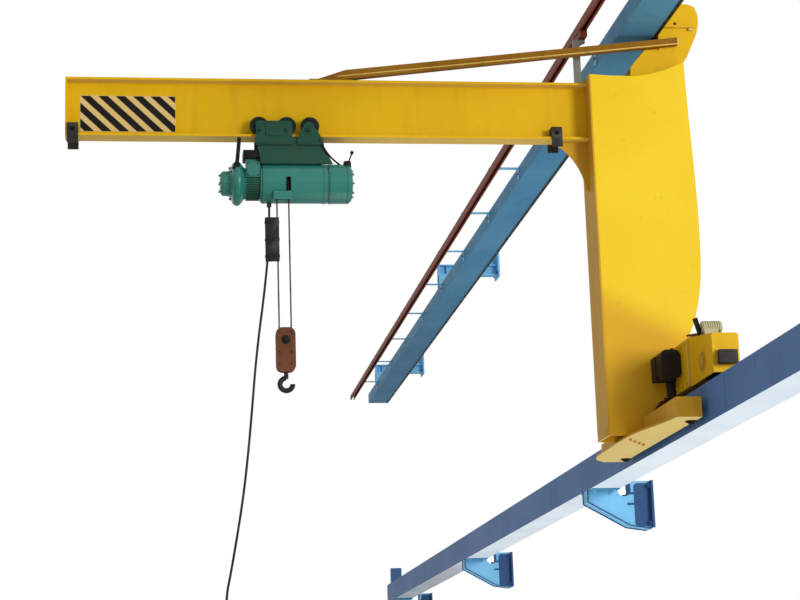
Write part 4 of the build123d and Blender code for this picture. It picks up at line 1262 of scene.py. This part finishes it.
@dataclass
class HoistFittings(Fittings):
    """Fins, bands, bolts, covers and conduits of the hoist."""

    body: str = "trolley"
    z: float = 1.824
    lid: tuple = (-3.2915, 1.8925)
    sleeve_x: tuple = (-3.216, -3.123)
    band_z: tuple = (1.285, 1.400, 1.520)
    slot_x: tuple = (-3.068, -3.040)
    slot_radius: float = 0.1345
    slot_turn: tuple = (-0.07, 1.45)

    def build(self) -> None:
        """Builds the hoist's small parts."""
        self.fins_and_bands()
        self.add("hoist_bolts", Look.HOIST, "rail_steel", *[
            bolt(at, axis, size) for x, radius, count, axis, size in (
                (-3.436, 0.104, 8, -X_AXIS, 0.009), (-3.5085, 0.064, 6, -X_AXIS, 0.006),
                (-2.6185, 0.088, 8, X_AXIS, 0.009))
            for at in bolt_circle((x, self.y, self.z), radius, count, 0.2)])
        self.box_covers()
        self.conduits()
        self.sleeve_clamps()
        self.slot_frame()

    def fins_and_bands(self) -> None:
        """Cooling fins of the motor, and raised bands with sloping sides round the hoist."""
        line = (self.y, self.z)
        self.add("hoist_motor_fins", Look.HOIST_DARK, "hoist_green",
                 finned(-3.336, -3.246, line, 0.104, 0.116, 40),
                 finned(-3.5095, -3.5055, line, 0.030, 0.052, 12))
        self.add("hoist_bands", Look.HOIST, "hoist_green", *[
            turned([(x, low), (x + slope, high), (x + wide - slope, high), (x + wide, low)],
                   (0.0, self.y, self.z), X_AXIS, around)
            for x, wide, slope, low, high, around in (
                (-3.226, 0.012, 0.001, 0.1335, 0.1372, 64),
                (-2.816, 0.014, 0.001, 0.1335, 0.1372, 64),
                (-2.772, 0.010, 0.002, 0.134, 0.1385, 64),
                (-2.655, 0.010, 0.002, 0.134, 0.1385, 64),
                (-3.452, 0.009, 0.001, 0.085, 0.0905, 48))])

    def box_covers(self) -> None:
        """Covers of the junction and terminal boxes, and the terminal box's screws."""
        y, (x, z) = self.y, self.lid
        self.add("junction_cover", Look.BLACK, "motor_grey",
                 slab((-3.354, y - 0.084, 1.981), (-3.228, y + 0.054, 2.040), 0.004))
        self.add("terminal_lid", Look.HOIST, "hoist_green",
                 plate(rounded(0.083, 0.093, 0.010) + self.lid, y - 0.124, y - 0.118))
        self.bolt_on("lid_screws", Look.HOIST_DARK, -Y_AXIS, 0.0045, product(
            spread(0.034, x), [y - 0.124], spread(0.039, z)))

    def conduits(self) -> None:
        """Towing arm on the left, pipe on the right and the limit switch at the reducer."""
        y = self.y
        self.add("towing_arm", Look.BLACK, "hoist_green",
                 strut((-3.402, y - 0.124, 1.895), (-3.380, y - 0.108, 2.118), 0.010, 0.026),
                 strut((-3.414, y - 0.120, 1.890), (-3.392, y - 0.120, 1.940), 0.018, 0.040))
        a, b, c, d = np.array([(-2.836, y - 0.112, 2.110), (-2.790, y - 0.112, 1.985),
                               (-2.735, y - 0.095, 1.962), (-2.690, y - 0.040, 1.945)])
        t = np.linspace(0, 1, 28)[:, None]
        curve = ((1 - t) ** 3 * a + 3 * (1 - t) ** 2 * t * b + 3 * (1 - t) * t ** 2 * c
                 + t ** 3 * d)
        self.add("reducer_pipe", Look.SLEEVE, "cable_black", tube(curve, 0.0065, 14))
        self.add("limit_switch", Look.BLACK, "stop_black",
                 slab((-2.672, y - 0.080, 1.905), (-2.622, y - 0.020, 1.968), 0.005),
                 strut((-2.640, y - 0.050, 1.960), (-2.612, y - 0.050, 2.030), 0.012, 0.010),
                 turned([(-0.006, 0.012), (0.006, 0.012)], (-2.612, y - 0.050, 2.034), Y_AXIS,
                        20))

    def sleeve_clamps(self) -> None:
        """Bands and screws round the rope sleeve."""
        y, (x0, x1) = ROPE_Y, self.sleeve_x
        self.add("sleeve_bands", Look.SLEEVE, "sleeve_black", *[
            slab((x0 - 0.003, y - 0.020, z), (x1 + 0.003, y + 0.020, z + 0.018))
            for z in self.band_z])
        self.bolt_on("sleeve_screws", Look.SLEEVE, -Y_AXIS, 0.005, product(
            (x0 + 0.015, x1 - 0.040), [y - 0.020], [z + 0.009 for z in self.band_z]))

    def slot_frame(self) -> None:
        """A dark strip on each side of the rope's slot, on an arc round the drum, as painted
        shade.

        The arc's two ends are in radians from the drum's near side downwards.
        """
        turn = np.linspace(*self.slot_turn, 24) - np.pi / 2
        arc = np.stack((turn * 0, self.y + self.slot_radius * np.sin(turn),
                        self.z - self.slot_radius * np.cos(turn)), axis=1)
        self.add("slot_strips", Look.GREASE, "motor_grey",
                 *[tube(arc + (x, 0, 0), 0.003, 8) for x in self.slot_x])


@dataclass
class HookBlockFittings(Fittings):
    """Pin caps and bolts of the hook block, and the nut that carries the hook."""

    body: str = "hook_block"
    x: float = ROPE_X
    y: float = ROPE_Y
    face: float = 0.031

    def build(self) -> None:
        """Builds the block's small parts."""
        cap = [(0, 0.030), (0.003, 0.030), (0.005, 0.026), (0.005, 0.017), (0.012, 0.016),
               (0.013, 0.012)]
        self.add("sheave_pin_caps", Look.FORGED, "hook_black", *[
            turned(cap, (self.x, self.y + s * self.face, 0.720), s * Y_AXIS) for s in SIDES])
        self.bolt_on("block_bolts", Look.BROWN, Y_AXIS, 0.007, product(
            spread(0.040, self.x), spread(self.face, self.y), (0.560, 0.640, 0.775)),
            middle=self.y)
        nut = turned([(0, 0.026), (0.010, 0.026), (0.012, 0.022)], (self.x, self.y, 0.565),
                     Z_AXIS, 6)
        nut.build("hook_nut", Look.FORGED, "hook", "hook_black")


def main() -> None:
    """Builds the sub-assemblies in order."""
    logging.basicConfig(level=logging.INFO, format="%(name)s %(message)s")
    bpy.context.scene.view_settings.view_transform = "Standard"
    for part in (FrameFinishes(), StudioView(), PendantLine(), HoistingRope(), HazardPanels(),
                 RunwayFittings(), ColumnFittings(), JibFittings(), TrolleyFittings(),
                 HoistFittings(), HookBlockFittings()):
        part.build()
        LOG.info("built %s", type(part).__name__)


if __name__ == "__main__":
    main()
